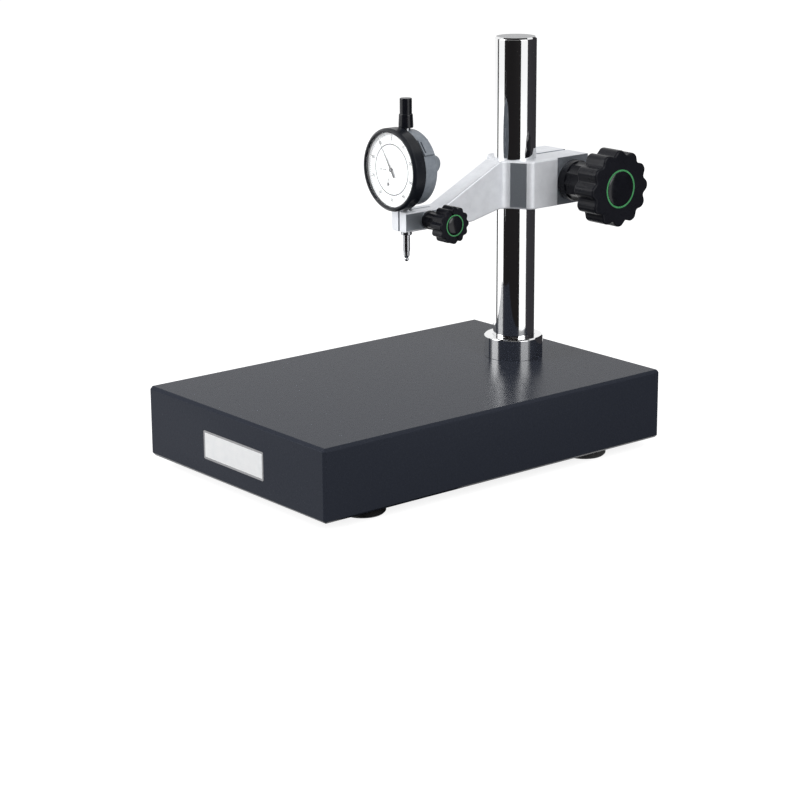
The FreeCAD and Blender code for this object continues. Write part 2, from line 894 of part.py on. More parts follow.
def back_screw(number):
    """One of the four small screws of the back cover."""
    angle = BACK_SCREW_ANGLES[number]
    place = (f"back_screw_circle * cos({angle})", "gauge_y + case_back + back_thickness",
             f"dial_level + back_screw_circle * sin({angle})")
    body = new_body(f"back_screw_{number}", place, FRONT)
    turned(body, "Screw", [
        ("0", "-back_screw_head_height"),
        ("back_screw_head / 2", "-back_screw_head_height"),
        ("back_screw_head", "-back_screw_head_height / 2"),
        ("back_screw_head", "0"),
        ("back_screw_radius", "0"),
        ("back_screw_radius", "back_screw_length"),
        ("0", "back_screw_length"),
    ])
    return body


def gauge_stem():
    """The clamping stem, which is also the lower guide of the spindle."""
    body = new_body("gauge_stem", (0, "gauge_y", "dial_level"))
    bore = "spindle_radius + running_gap"
    turned(body, "Stem", [
        (bore, "stem_bottom"),
        ("stem_radius - stem_chamfer", "stem_bottom"),
        ("stem_radius", "stem_bottom + stem_chamfer"),
        ("stem_radius", "stem_top"),
        (bore, "stem_top"),
    ])
    return body


def top_bushing():
    """The upper guide of the spindle, under the lifting cap."""
    body = new_body("top_bushing", (0, "gauge_y", "dial_level"))
    bore = "spindle_top_radius + running_gap"
    shoulder = "case_radius - case_wall - bushing_shoulder"
    turned(body, "Bushing", [
        (bore, "bushing_foot"),
        ("bushing_radius + bushing_shoulder", "bushing_foot"),
        ("bushing_radius + bushing_shoulder", shoulder),
        ("bushing_radius", shoulder),
        ("bushing_radius", "bushing_top"),
        (bore, "bushing_top"),
    ])
    return body


def spindle():
    """The measuring spindle with the rack cut into its left side."""
    body = new_body("spindle", (0, "gauge_y", "dial_level"))
    shoulder = "bushing_foot - spindle_travel - seat_gap"
    turned(body, "Rod", [
        ("0", "spindle_bottom"),
        ("spindle_radius - stem_chamfer", "spindle_bottom"),
        ("spindle_radius", "spindle_bottom + stem_chamfer"),
        ("spindle_radius", shoulder),
        ("spindle_top_radius", shoulder),
        ("spindle_top_radius", "cap_bottom + cap_flange_height"),
        ("0", "cap_bottom + cap_flange_height"),
    ])
    cylinder(body, "ContactThread", "contact_thread_radius + bond_gap",
             "contact_thread_length + 2 * cut_over", ("0", "0", "spindle_bottom - cut_over"))
    tip = "(rack_line + rack_module)"
    margin = "3.5 * rack_pitch"
    foot = f"-(counter_drop + spindle_travel + {margin})"
    flat = ("spindle_radius", "2 * spindle_radius", f"spindle_travel + 2 * {margin}")
    block(body, "RackFlat", flat, (f"-{tip} - spindle_radius", "-spindle_radius", foot))
    root = "(rack_line - 1.25 * rack_module)"
    above = "(rack_line + 1.5 * rack_module)"
    first = "-(counter_drop + spindle_travel + 2.5 * rack_pitch)"
    wide = "0.46 * rack_pitch"
    narrow = "0.16 * rack_pitch"
    sketch = new_sketch(body, "XZ_Plane", "RackGapOutline")
    draw_outline(sketch, [
        (f"-{above}", f"{first} - {wide}"),
        (f"-{above}", f"{first} + {wide}"),
        (f"-{root}", f"{first} + {narrow}"),
        (f"-{root}", f"{first} - {narrow}"),
    ])
    gap = body.newObject("PartDesign::Pocket", "RackGap")
    gap.Profile = sketch
    gap.SideType = "Symmetric"
    bind(gap, Length="2.2 * spindle_radius")
    doc.recompute()
    rack = body.newObject("PartDesign::LinearPattern", "Rack")
    rack.Originals = [gap]
    rack.Direction = (origin_part(body, "Z_Axis"), [""])
    bind(rack, Length="rack_pitch * (counter_teeth + 4)", Occurrences="counter_teeth + 5")
    body.Tip = rack
    doc.recompute()
    return body


def contact_point():
    """The contact point with its ball, screwed into the spindle."""
    body = new_body("contact_point", (0, "gauge_y", "dial_level"))
    neck = "contact_neck_radius"
    ball = "contact_tip + contact_ball_radius"
    turned(body, "Point", [
        ("0", ball),
        (neck, ball),
        (neck, ball + " + contact_neck_length"),
        ("contact_collar_radius", "spindle_bottom - contact_collar_length"),
        ("contact_collar_radius", "spindle_bottom"),
        ("contact_thread_radius", "spindle_bottom"),
        ("contact_thread_radius", "spindle_bottom + contact_thread_length"),
        ("0", "spindle_bottom + contact_thread_length"),
    ])
    sphere = body.newObject("PartDesign::AdditiveSphere", "Ball")
    bind(sphere, Radius="contact_ball_radius")
    bind_base(sphere, ("0", "0", ball))
    doc.recompute()
    return body


def lifting_cap():
    """The cap on the top end of the spindle, by which it is lifted."""
    body = new_body("lifting_cap", (0, "gauge_y", "dial_level"))
    bore = "spindle_top_radius + bond_gap"
    flange_top = "cap_bottom + cap_flange_height"
    cap_top = "cap_bottom + cap_height"
    turned(body, "Cap", [
        (bore, "cap_bottom"),
        ("cap_flange_radius", "cap_bottom"),
        ("cap_flange_radius", "cap_bottom + cap_flange_rim"),
        ("cap_shoulder_radius", flange_top),
        ("cap_radius", flange_top + " + cap_shoulder"),
        ("cap_radius", cap_top + " - cap_chamfer"),
        ("cap_radius - cap_chamfer", cap_top),
        ("0", cap_top),
        ("0", flange_top + " + bond_gap"),
        (bore, flange_top + " + bond_gap"),
    ])
    return body


def bezel():
    """The turning bezel that holds the crystal and the outer dial."""
    body = new_body("bezel", (0, "gauge_y", "dial_level"), FRONT)
    skirt = "collar_radius + running_gap"
    ledge = "collar_radius - bezel_ledge"
    inner = "(crystal_radius - crystal_ledge)"
    crystal_front = "crystal_back + crystal_thickness + bond_gap"
    turned(body, "Bezel", [
        (skirt, "case_front + seat_gap"),
        ("bezel_radius - bezel_lip", "case_front + seat_gap"),
        ("bezel_radius", "case_front + seat_gap + bezel_lip"),
        ("bezel_radius", "bezel_front - bezel_edge"),
        ("bezel_radius - bezel_edge", "bezel_front"),
        ("bezel_opening + bezel_lip", "bezel_front"),
        ("bezel_opening", "bezel_front - bezel_lip"),
        ("bezel_opening", crystal_front),
        ("crystal_radius + bond_gap", crystal_front),
        ("crystal_radius + bond_gap", "crystal_back"),
        (inner, "crystal_back"),
        (inner, "dial_back - bond_gap"),
        (ledge, "dial_back - bond_gap"),
        (ledge, "collar_front + seat_gap"),
        (skirt, "collar_front + seat_gap"),
    ])
    return body


def crystal():
    """The flat glass over the dial."""
    body = new_body("crystal", (0, "gauge_y", "dial_level"), FRONT)
    turned(body, "Glass", [
        ("0", "crystal_back + bond_gap"),
        ("crystal_radius", "crystal_back + bond_gap"),
        ("crystal_radius", "crystal_back + crystal_thickness"),
        ("0", "crystal_back + crystal_thickness"),
    ])
    return body


def outer_dial():
    """The ring-shaped outer dial, which turns with the bezel."""
    body = new_body("outer_dial", (0, "gauge_y", "dial_level"), FRONT)
    inner = "dial_split_radius + dial_split_gap"
    outer = "crystal_radius - crystal_ledge - bond_gap"
    turned(body, "Dial", [
        (inner, "dial_back"),
        (outer, "dial_back"),
        (outer, "dial_front"),
        (inner, "dial_front"),
    ])
    return body


DIAL_FOOT_ANGLES = (30, 150, 300)


def inner_dial():
    """The fixed dial in the middle, on three feet that stand on the plate."""
    body = new_body("inner_dial", (0, "gauge_y", "dial_level"), FRONT)
    hole = "arbor_radius + screw_clearance"
    turned(body, "Dial", [
        (hole, "dial_back"),
        ("dial_split_radius", "dial_back"),
        ("dial_split_radius", "dial_front"),
        (hole, "dial_front"),
    ])
    cylinder(body, "CounterHole", hole, "dial_thickness + 2 * cut_over",
             ("-counter_shift", "-counter_drop", "dial_back - cut_over"))
    circle = "(dial_split_radius - dial_foot_inset)"
    for number, angle in enumerate(DIAL_FOOT_ANGLES):
        place = (f"{circle} * cos({angle})", f"{circle} * sin({angle})", "plate_front")
        cylinder(body, f"DialFoot{number}", "dial_foot_radius",
                 "dial_front - dial_thickness / 2 - plate_front", place, cut=False)
    return body


def movement_plate():
    """The front plate of the movement, seated against the collar of the case."""
    body = new_body("movement_plate", (0, "gauge_y", "dial_level"), FRONT)
    edge = "case_radius - case_wall - bond_gap"
    hole = "arbor_radius + running_gap"
    turned(body, "Plate", [
        (hole, "plate_depth"),
        (edge, "plate_depth"),
        (edge, "plate_front"),
        (hole, "plate_front"),
    ])
    cylinder(body, "CounterPivot", hole, "plate_thickness + 2 * cut_over",
             ("-counter_shift", "-counter_drop", "plate_depth - cut_over"))
    return body


def movement_bridge():
    """The rear bridge behind the spindle, with the two pillars that carry it."""
    body = new_body("movement_bridge", (0, "gauge_y", "dial_level"), FRONT)
    reach = "(wheel_pitch_radius + gear_module + pillar_radius + wheel_clearance)"
    left = f"-(counter_shift + {reach})"
    right = f"({reach} - counter_shift)"
    strip = (f"2 * {reach} + 2 * pillar_radius", "bridge_width", "bridge_thickness")
    corner = (f"{left} - pillar_radius", "-(counter_drop + bridge_width / 2)",
              "-bridge_depth")
    block(body, "Strip", strip, corner, cut=False)
    for name, across in (("Left", left), ("Right", right)):
        place = (across, "-counter_drop", "-bridge_depth")
        cylinder(body, name + "Pillar", "pillar_radius",
                 "bridge_depth + plate_depth - bond_gap", place, cut=False)
    cylinder(body, "CounterPivot", "arbor_radius + running_gap",
             "bridge_thickness + 2 * cut_over",
             ("-counter_shift", "-counter_drop", "-bridge_depth - cut_over"))
    return body


def centre_cock():
    """The small cock that carries the rear pivot of the centre pinion."""
    body = new_body("centre_cock", (0, "gauge_y", "dial_level"), FRONT)
    strip = ("cock_overhang + cock_reach + pillar_radius", "cock_width", "cock_thickness")
    corner = ("-cock_overhang", "-cock_width / 4", "cock_depth")
    block(body, "Strip", strip, corner, cut=False)
    cylinder(body, "Pillar", "pillar_radius", "plate_depth - cock_depth - bond_gap",
             ("cock_reach", "cock_width / 4", "cock_depth"), cut=False)
    cylinder(body, "Pivot", "arbor_radius + running_gap", "cock_thickness + 2 * cut_over",
             ("0", "0", "cock_depth - cut_over"))
    return body


def toothed(body, pitch_radius, tip, root, gap_tip, gap_root, length, depth, teeth):
    """Cut tooth gaps all round a disc and leave it as the body's shape."""
    cylinder(body, "Blank", f"{pitch_radius} + {tip}", length, ("0", "0", depth), cut=False)
    sketch = new_sketch(body, "XY_Plane", "GapOutline")
    draw_outline(sketch, [
        (f"{pitch_radius} - {root}", f"-{gap_root} / 2"),
        (f"{pitch_radius} + 1.3 * {tip}", f"-{gap_tip} / 2"),
        (f"{pitch_radius} + 1.3 * {tip}", f"{gap_tip} / 2"),
        (f"{pitch_radius} - {root}", f"{gap_root} / 2"),
    ])
    gap = body.newObject("PartDesign::Pocket", "ToothGap")
    gap.Profile = sketch
    gap.SideType = "Symmetric"
    bind(gap, Length=f"4 * ({depth} + {length}) + 4 * {length}")
    doc.recompute()
    repeat_round(body, "Teeth", gap, teeth)


def counter_wheel():
    """The wheel on the counter arbor that drives the centre pinion."""
    lean = math.degrees(math.atan2(value("counter_drop"), value("counter_shift")))
    turn = FRONT.multiply(Rotation(Vector(0, 0, 1), lean))
    place = ("-counter_shift", "gauge_y", "dial_level - counter_drop")
    body = new_body("counter_wheel", place, turn)
    toothed(body, "wheel_pitch_radius", "0.9 * gear_module", "1.25 * gear_module",
            "2.5 * gear_module", "0.95 * gear_module", "wheel_thickness", "wheel_depth",
            "wheel_teeth")
    cylinder(body, "Bore", "arbor_radius + bond_gap", "wheel_thickness + 2 * cut_over",
             ("0", "0", "wheel_depth - cut_over"))
    return body


def counter_pinion():
    """The counter arbor with the pinion that the rack turns."""
    place = ("-counter_shift", "gauge_y", "dial_level - counter_drop")
    body = new_body("counter_pinion", place, FRONT)
    toothed(body, "counter_pitch_radius", "rack_module", "1.25 * rack_module",
            "3.1 * rack_module", "0.75 * rack_module", "pinion_length", "-pinion_length / 2",
            "counter_teeth")
    cylinder(body, "Arbor", "arbor_radius", "bridge_depth + hand_depth",
             ("0", "0", "-(bridge_depth + arbor_end)"), cut=False)
    return body


def centre_pinion():
    """The centre arbor with the pinion that turns the main hand."""
    lean = math.degrees(math.atan2(value("counter_drop"), value("counter_shift")))
    half_tooth = 180 / value("centre_teeth")
    turn = FRONT.multiply(Rotation(Vector(0, 0, 1), lean + 180 - half_tooth))
    body = new_body("centre_pinion", ("0", "gauge_y", "dial_level"), turn)
    toothed(body, "centre_pitch_radius", "gear_module", "1.25 * gear_module",
            "3.3 * gear_module", "0.85 * gear_module", "centre_pinion_length",
            "wheel_depth - arbor_end", "centre_teeth")
    rear = "(cock_depth + running_gap)"
    cylinder(body, "Arbor", "arbor_radius", f"hand_depth + hub_front - {rear}",
             ("0", "0", rear), cut=False)
    return body


def hand(label, place, depth, length, tail, half_width, hub, angle):
    """A tapered hand with its hub; it stands at an angle to the left of upright."""
    body = new_body(label, place, FRONT)
    sketch = new_sketch(body, "XY_Plane", "HandOutline")
    draw_outline(sketch, [
        (f"-{half_width}", f"-{tail}"),
        (half_width, f"-{tail}"),
        ("hand_point", length),
        ("-hand_point", length),
    ])
    turn = Rotation(Vector(0, 0, 1), value(angle))
    sketch.AttachmentOffset = Placement(Vector(0, 0, value(depth)), turn)
    sketch.setExpression("AttachmentOffset.Base.z", linked(depth))
    sketch.setExpression("AttachmentOffset.Rotation.Angle", linked(angle))
    pad = body.newObject("PartDesign::Pad", "Hand")
    pad.Profile = sketch
    bind(pad, Length="hand_thickness")
    doc.recompute()
    start = ("0", "0", f"{depth} - hub_rear")
    cylinder(body, "Hub", hub, "hub_rear + hand_thickness + hub_front", start, cut=False)
    cylinder(body, "HubBore", "arbor_radius + bond_gap", "hand_thickness + 2 * cut_over",
             ("0", "0", f"{depth} - cut_over"))
    return body


def all_pieces():
    """Make every piece of the stand and return them in order."""
    knob_row = "column_offset + block_screw_offset"
    big_place = ("big_knob_x", knob_row, "arm_level")
    small_row = "gauge_y + holder_screw_offset"
    small_place = ("small_knob_x", small_row, "holder_middle")
    pieces = [granite_base(), column_ring(), column(), column_bolt(), column_washer(), arm()]
    screws = []
    inserts = []
    for name, (side, end) in FOOT_CORNERS.items():
        pieces.append(rubber_foot(name, side, end))
        screws.append(foot_screw(name, side, end))
        inserts.append(foot_insert(name, side, end))
    pieces.append(gathered("foot_screws", screws))
    pieces.append(gathered("foot_inserts", inserts))
    pieces += [
        clamp_washer("column_clamp_washer", "block_washer_radius",
                     "block_screw_radius + screw_clearance", "block_washer_thickness",
                     ("ear_half_width", knob_row, "arm_level")),
        lobed_knob("column_knob", "big", "block_screw_radius", big_place),
        knob_trim("column_knob_ring", "big", big_place),
        knob_cap("column_knob_cap", "big", big_place),
        clamp_screw("column_clamp_screw", "block_screw_radius",
                    "(big_knob_x + ear_half_width - block_screw_spare)", "big_neck_length",
                    big_place),
        clamp_washer("gauge_clamp_washer", "holder_washer_radius",
                     "holder_screw_radius + screw_clearance", "holder_washer_thickness",
                     ("arm_half_width", small_row, "holder_middle")),
        lobed_knob("gauge_knob", "small", "holder_screw_radius", small_place),
        knob_trim("gauge_knob_ring", "small", small_place),
        knob_cap("gauge_knob_cap", "small", small_place),
        clamp_screw("gauge_clamp_screw", "holder_screw_radius",
                    "(small_knob_x + arm_half_width - holder_screw_spare)",
                    "small_neck_length", small_place),
        gauge_case(),
        gauge_back(),
        gathered("back_screws", [back_screw(number) for number in range(len(BACK_SCREW_ANGLES))]),
        gauge_stem(),
        top_bushing(),
        movement_plate(),
        movement_bridge(),
        centre_cock(),
        inner_dial(),
        bezel(),
        crystal(),
        outer_dial(),
        spindle(),
        contact_point(),
        lifting_cap(),
        counter_wheel(),
        counter_pinion(),
        centre_pinion(),
    ]
    centre = ("0", "gauge_y", "dial_level")
    counter = ("-counter_shift", "gauge_y", "dial_level - counter_drop")
    pieces.append(hand("main_hand", centre, "hand_depth", "hand_length", "hand_tail",
                       "hand_half_width", "hand_hub_radius", "hand_angle"))
    pieces.append(hand("counter_hand", counter, "(hand_depth - small_hand_drop)",
                       "small_hand_length", "small_hand_tail", "small_hand_half_width",
                       "small_hand_hub_radius", "small_hand_angle"))
    return pieces


def check_features():
    """Stop if any object failed, or a cut took nothing away."""
    for thing in doc.Objects:
        if "Invalid" in thing.State or "Error" in thing.State:
            raise RuntimeError(f"{thing.Label} failed: {thing.State}")
        cuts = thing.TypeId.startswith("PartDesign::Subtractive")
        cuts = cuts or thing.TypeId == "PartDesign::Pocket"
        if cuts and thing.BaseFeature is not None:
            before = thing.BaseFeature.Shape.Volume
            if before - thing.Shape.Volume < 1e-6:
                raise RuntimeError(f"{thing.getParent().Label} {thing.Label} cuts nothing")


def write_pieces(pieces):
    """Check each piece and write it to a file of its own."""
    os.makedirs("parts", exist_ok=True)
    for piece in pieces:
        shape = piece.Shape
        if shape.isNull() or not shape.isValid() or not shape.Solids:
            raise RuntimeError(f"{piece.Label} has no sound shape")
    for piece in pieces:
        piece.Shape.exportStep(f"parts/{piece.Label}.step")
        box = piece.Shape.BoundBox
        print(f"{piece.Label:22s} {len(piece.Shape.Solids)} solids {piece.Shape.Volume:12.2f} mm3"
              f"  z {box.ZMin:8.2f} to {box.ZMax:8.2f}")


fill_sheet()
made = all_pieces()
doc.recompute()
check_features()
write_pieces(made)
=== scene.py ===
# %% [markdown]
# A comparator stand is a granite plate with a polished column, and an arm on that column
# holds a dial gauge over the plate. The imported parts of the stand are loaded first. They
# are the frame: they say where every piece is, and no piece here leaves that place.

import json
import math

import bmesh
import bpy
from mathutils import Matrix, Vector


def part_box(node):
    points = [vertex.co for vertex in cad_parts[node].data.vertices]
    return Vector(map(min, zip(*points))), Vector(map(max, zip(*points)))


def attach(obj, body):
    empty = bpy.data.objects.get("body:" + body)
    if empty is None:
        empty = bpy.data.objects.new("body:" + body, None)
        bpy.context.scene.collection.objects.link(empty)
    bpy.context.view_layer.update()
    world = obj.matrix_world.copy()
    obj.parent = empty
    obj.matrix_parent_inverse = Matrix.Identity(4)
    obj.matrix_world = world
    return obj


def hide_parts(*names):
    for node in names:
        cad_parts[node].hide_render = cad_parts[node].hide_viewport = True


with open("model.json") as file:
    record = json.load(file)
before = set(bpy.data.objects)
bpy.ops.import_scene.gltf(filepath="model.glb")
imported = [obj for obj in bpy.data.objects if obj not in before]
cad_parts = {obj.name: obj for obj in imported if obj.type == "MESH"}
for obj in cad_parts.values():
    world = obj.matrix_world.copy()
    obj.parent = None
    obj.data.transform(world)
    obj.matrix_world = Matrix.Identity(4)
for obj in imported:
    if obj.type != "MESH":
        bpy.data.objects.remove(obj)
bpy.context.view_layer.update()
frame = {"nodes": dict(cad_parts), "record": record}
MM = 0.001

# %% [markdown]
# The photograph looks down on the front right corner of the plate from about a metre and
# a half away with a long lens, so lines that run away from us close in only a little.
# The camera's place and its three turns were found by matching the corners of the plate,
# the column, the gauge and both knobs. A turn about the column's direction comes first,
# then the tilt down, then the small lean of the picture.

# %% Camera
CAMERA_PLACE = Vector((1.191, -0.978, 0.478))
CAMERA_TURN = math.radians(50.8)
CAMERA_TILT = math.radians(15.81)
CAMERA_LEAN = math.radians(-0.35)
FOCAL_PIXELS = 2280
PICTURE_PIXELS = 800
SENSOR_WIDTH = 36
VIEW_DEPTH = 100


def put_in_scene(name, data):
    """A new object at the origin, linked to the scene."""
    thing = bpy.data.objects.new(name, data)
    bpy.context.scene.collection.objects.link(thing)
    return thing


camera_data = bpy.data.cameras.new("camera")
camera_data.sensor_width = SENSOR_WIDTH
camera_data.lens = FOCAL_PIXELS / PICTURE_PIXELS * SENSOR_WIDTH
camera_data.clip_end = VIEW_DEPTH
camera = put_in_scene("camera", camera_data)
camera.matrix_world = (
    Matrix.Translation(CAMERA_PLACE)
    @ Matrix.Rotation(CAMERA_TURN, 4, "Z")
    @ Matrix.Rotation(math.pi / 2 - CAMERA_TILT, 4, "X")
    @ Matrix.Rotation(CAMERA_LEAN, 4, "Z")
)
bpy.context.scene.camera = camera
bpy.context.scene.view_settings.view_transform = "Standard"
print("lens", round(camera_data.lens, 1), "mm")

# %% [markdown]
# Every finish is a small tree of nodes round one Principled shader. These helpers add a
# node with its settings, join two sockets, and turn a grey pattern into a range of
# colours or of roughness. All patterns read Object coordinates, which are metres here, so
# a noise scale of 1000 has features of about a millimetre. Noise swings mostly between
# 0.3 and 0.7, so that is where most ranges have their two ends.

# %% Helpers for the finishes
def new_finish(name, colour, roughness, metallic=0.0, specular=0.5):
    """A material with plain values on its shader, ready for patterns."""
    finish = bpy.data.materials.new(name)
    finish.use_nodes = True
    shader = finish.node_tree.nodes["Principled BSDF"]
    shader.inputs["Base Color"].default_value = (*colour, 1)
    shader.inputs["Roughness"].default_value = roughness
    shader.inputs["Metallic"].default_value = metallic
    shader.inputs["Specular IOR Level"].default_value = specular
    return finish


def shader_of(finish):
    return finish.node_tree.nodes["Principled BSDF"]


def add_node(finish, kind, **sockets):
    """Add a node; each keyword is an input socket, with _ for a space."""
    node = finish.node_tree.nodes.new(kind)
    for name, setting in sockets.items():
        node.inputs[name.replace("_", " ")].default_value = setting
    return node


def join(finish, source, output, target, entry):
    finish.node_tree.links.new(source.outputs[output], target.inputs[entry])


def grain(finish, scale, detail, roughness, stretch=(1, 1, 1)):
    """Noise over the piece, finer with a larger scale, drawn out along an axis by stretch."""
    place = add_node(finish, "ShaderNodeTexCoord")
    mapping = add_node(finish, "ShaderNodeMapping", Scale=stretch)
    noise = add_node(finish, "ShaderNodeTexNoise", Scale=scale, Detail=detail, Roughness=roughness)
    join(finish, place, "Object", mapping, "Vector")
    join(finish, mapping, "Vector", noise, "Vector")
    return noise


def ramp(finish, pattern, *stops):
    """A colour ramp fed by a pattern; each stop is a position and a colour or a grey."""
    band = add_node(finish, "ShaderNodeValToRGB")
    elements = band.color_ramp.elements
    while len(elements) < len(stops):
        elements.new(0.5)
    for element, (position, colour) in zip(elements, stops):
        element.position = position
        grey = isinstance(colour, (int, float))
        element.color = (colour, colour, colour, 1) if grey else (*colour, 1)
    join(finish, pattern, "Fac", band, "Fac")
    return band


def colour_by(finish, pattern, *stops):
    """Let a pattern choose the colour."""
    band = ramp(finish, pattern, *stops)
    join(finish, band, "Color", shader_of(finish), "Base Color")


def vary_roughness(finish, low, high, scale, stretch=(1, 1, 1)):
    """Let the roughness drift between two values."""
    noise = grain(finish, scale, detail=4, roughness=0.6, stretch=stretch)
    band = ramp(finish, noise, (0.3, low), (0.7, high))
    join(finish, band, "Color", shader_of(finish), "Roughness")


def add_bump(finish, pattern, output, depth, strength, rounding=0):
    """Bump from a pattern, and with a rounding radius also softly rounded edges."""
    bump = add_node(finish, "ShaderNodeBump", Strength=strength, Distance=depth)
    join(finish, pattern, output, bump, "Height")
    if rounding:
        bevel = add_node(finish, "ShaderNodeBevel", Radius=rounding)
        join(finish, bevel, "Normal", bump, "Normal")
    join(finish, bump, "Normal", shader_of(finish), "Normal")


# %% [markdown]
# The plate is black granite, lapped flat. Close up it is blue-black with fine grains, and
# here and there a pale one. The face is smooth enough to mirror a light softly at a low
# angle. One fine noise makes all the grains: only its highest peaks reach the pale stop.
# The bump is almost nothing, because at a low angle every dent would sparkle.

# %% Granite
def granite():
    finish = new_finish("granite", (0.025, 0.029, 0.04), 0.28, specular=0.05)
    shader_of(finish).inputs["Specular Tint"].default_value = (0.8, 0.88, 1, 1)
    crystals = grain(finish, 1100, detail=5, roughness=0.7)
    colour_by(finish, crystals, (0.32, (0.0235, 0.027, 0.0375)), (0.64, (0.0305, 0.0345, 0.047)),
              (0.77, (0.085, 0.092, 0.107)))
    vary_roughness(finish, 0.25, 0.29, 260)
    add_bump(finish, crystals, "Fac", 0.02 * MM, strength=0.02)
    return finish


# %% [markdown]
# Chrome is a metal with almost no roughness: what we see is the room. Its faint ripple
# and the finest polishing haze keep the reflections from looking drawn with a ruler.

# %% Chromed steel
def chrome():
    finish = new_finish("chrome", (0.86, 0.865, 0.87), 0.05, metallic=1.0)
    vary_roughness(finish, 0.035, 0.075, 90, (1, 1, 0.1))
    ripple = grain(finish, 22, detail=1, roughness=0.4, stretch=(1, 1, 0.25))
    add_bump(finish, ripple, "Fac", 0.05 * MM, strength=0.15)
    return finish


# %% [markdown]
# The arm is an aluminium casting, blasted with fine beads. The tiny dents scatter light,
# so the metal reads as a pale, slightly cloudy silver. Where other parts sit against it,
# the casting was milled afterwards: there it is smoother, and dark where the room is.

# %% Blasted and milled aluminium
def blasted_aluminium():
    finish = new_finish("blasted_aluminium", (0.78, 0.8, 0.84), 0.5, metallic=0.4)
    clouds = grain(finish, 130, detail=5, roughness=0.65)
    colour_by(finish, clouds, (0.3, (0.82, 0.84, 0.88)), (0.7, (0.92, 0.94, 0.98)))
    vary_roughness(finish, 0.46, 0.55, 300)
    dents = grain(finish, 3200, detail=3, roughness=0.6)
    add_bump(finish, dents, "Fac", 0.05 * MM, strength=0.5, rounding=0.4 * MM)
    return finish


def milled_aluminium():
    finish = new_finish("milled_aluminium", (0.58, 0.63, 0.69), 0.31, metallic=0.85)
    cuts = grain(finish, 1500, detail=2, roughness=0.5, stretch=(1, 0.1, 2))
    colour_by(finish, cuts, (0.3, (0.55, 0.6, 0.66)), (0.7, (0.61, 0.66, 0.72)))
    vary_roughness(finish, 0.29, 0.33, 500, (1, 0.1, 2))
    add_bump(finish, cuts, "Fac", 0.005 * MM, strength=0.05)
    return finish


# %% [markdown]
# The knobs are moulded in black glass-filled plastic with a satin skin. The skin has a
# very fine texture from the mould, and slow changes of gloss where hands have been.

# %% Moulded plastics
def knob_plastic():
    finish = new_finish("knob_plastic", (0.011, 0.0115, 0.015), 0.29, specular=0.13)
    clouds = grain(finish, 60, detail=3, roughness=0.6)
    colour_by(finish, clouds, (0.3, (0.0095, 0.01, 0.0135)), (0.75, (0.0125, 0.013, 0.0175)))
    vary_roughness(finish, 0.25, 0.33, 140)
    skin = grain(finish, 2600, detail=2, roughness=0.5)
    add_bump(finish, skin, "Fac", 0.03 * MM, strength=0.3)
    return finish


def green_plastic():
    finish = new_finish("green_plastic", (0.07, 0.33, 0.12), 0.38)
    clouds = grain(finish, 300, detail=2, roughness=0.5)
    colour_by(finish, clouds, (0.3, (0.055, 0.29, 0.1)), (0.7, (0.085, 0.37, 0.14)))
    add_bump(finish, clouds, "Fac", 0.03 * MM, strength=0.2)
    return finish


def gloss_black_plastic():
    finish = new_finish("gloss_black_plastic", (0.012, 0.0125, 0.016), 0.16, specular=0.4)
    vary_roughness(finish, 0.12, 0.22, 200)
    clouds = grain(finish, 90, detail=2, roughness=0.5)
    colour_by(finish, clouds, (0.3, (0.005, 0.0055, 0.008)), (0.7, (0.009, 0.0095, 0.013)))
    add_bump(finish, clouds, "Fac", 0.04 * MM, strength=0.12)
    return finish


# %% [markdown]
# The gauge case is a casting under grey stove enamel. The enamel has a fine pebbled
# skin, which a Voronoi pattern gives better than noise, because its cells have edges.

# %% Enamels of the gauge
def grey_enamel():
    finish = new_finish("grey_enamel", (0.2, 0.215, 0.24), 0.42)
    place = add_node(finish, "ShaderNodeTexCoord")
    pebbles = add_node(finish, "ShaderNodeTexVoronoi", Scale=1700)
    join(finish, place, "Object", pebbles, "Vector")
    clouds = grain(finish, 220, detail=4, roughness=0.6)
    colour_by(finish, clouds, (0.3, (0.2, 0.225, 0.26)), (0.72, (0.28, 0.31, 0.35)))
    vary_roughness(finish, 0.34, 0.5, 500)
    add_bump(finish, pebbles, "Distance", 0.09 * MM, strength=0.4, rounding=0.25 * MM)
    return finish


def satin_black():
    finish = new_finish("satin_black", (0.008, 0.0095, 0.014), 0.3, specular=0.35)
    rings = grain(finish, 420, detail=3, roughness=0.5, stretch=(0.15, 4, 0.15))
    colour_by(finish, rings, (0.3, (0.0065, 0.008, 0.012)), (0.7, (0.01, 0.012, 0.017)))
    vary_roughness(finish, 0.26, 0.34, 160)
    add_bump(finish, rings, "Fac", 0.01 * MM, strength=0.15)
    return finish


# %% [markdown]
# The small steel parts differ only in how they were finished: ground, zinc plated,
# blackened, or turned in brass. One function takes the colour and the direction of the
# tool marks, which are noise stretched along the work.

# %% Small metal parts
def worked_metal(name, dark, light, smooth, rough, stretch, metallic=1.0):
    finish = new_finish(name, light, smooth, metallic=metallic)
    marks = grain(finish, 700, detail=3, roughness=0.6, stretch=stretch)
    colour_by(finish, marks, (0.3, dark), (0.7, light))
    vary_roughness(finish, smooth, rough, 500, stretch)
    add_bump(finish, marks, "Fac", 0.02 * MM, strength=0.3)
    return finish


ROUND_MARKS = (0.2, 0.2, 6)

# %% [markdown]
# Rubber feet are matte, with dust in the pores, so they are dark grey, not black. The
# dial faces are matte white enamel with the slight unevenness of printing. The crystal
# is flat mineral glass; light that casts shadows passes it straight, so that the
# dial behind it is lit as it really is.

# %% Rubber, dial and glass
def rubber():
    finish = new_finish("rubber", (0.022, 0.022, 0.024), 0.7, specular=0.35)
    pores = grain(finish, 900, detail=4, roughness=0.65)
    colour_by(finish, pores, (0.35, (0.008, 0.008, 0.009)), (0.7, (0.02, 0.02, 0.021)))
    vary_roughness(finish, 0.6, 0.82, 300)
    add_bump(finish, pores, "Fac", 0.08 * MM, strength=0.4)
    return finish


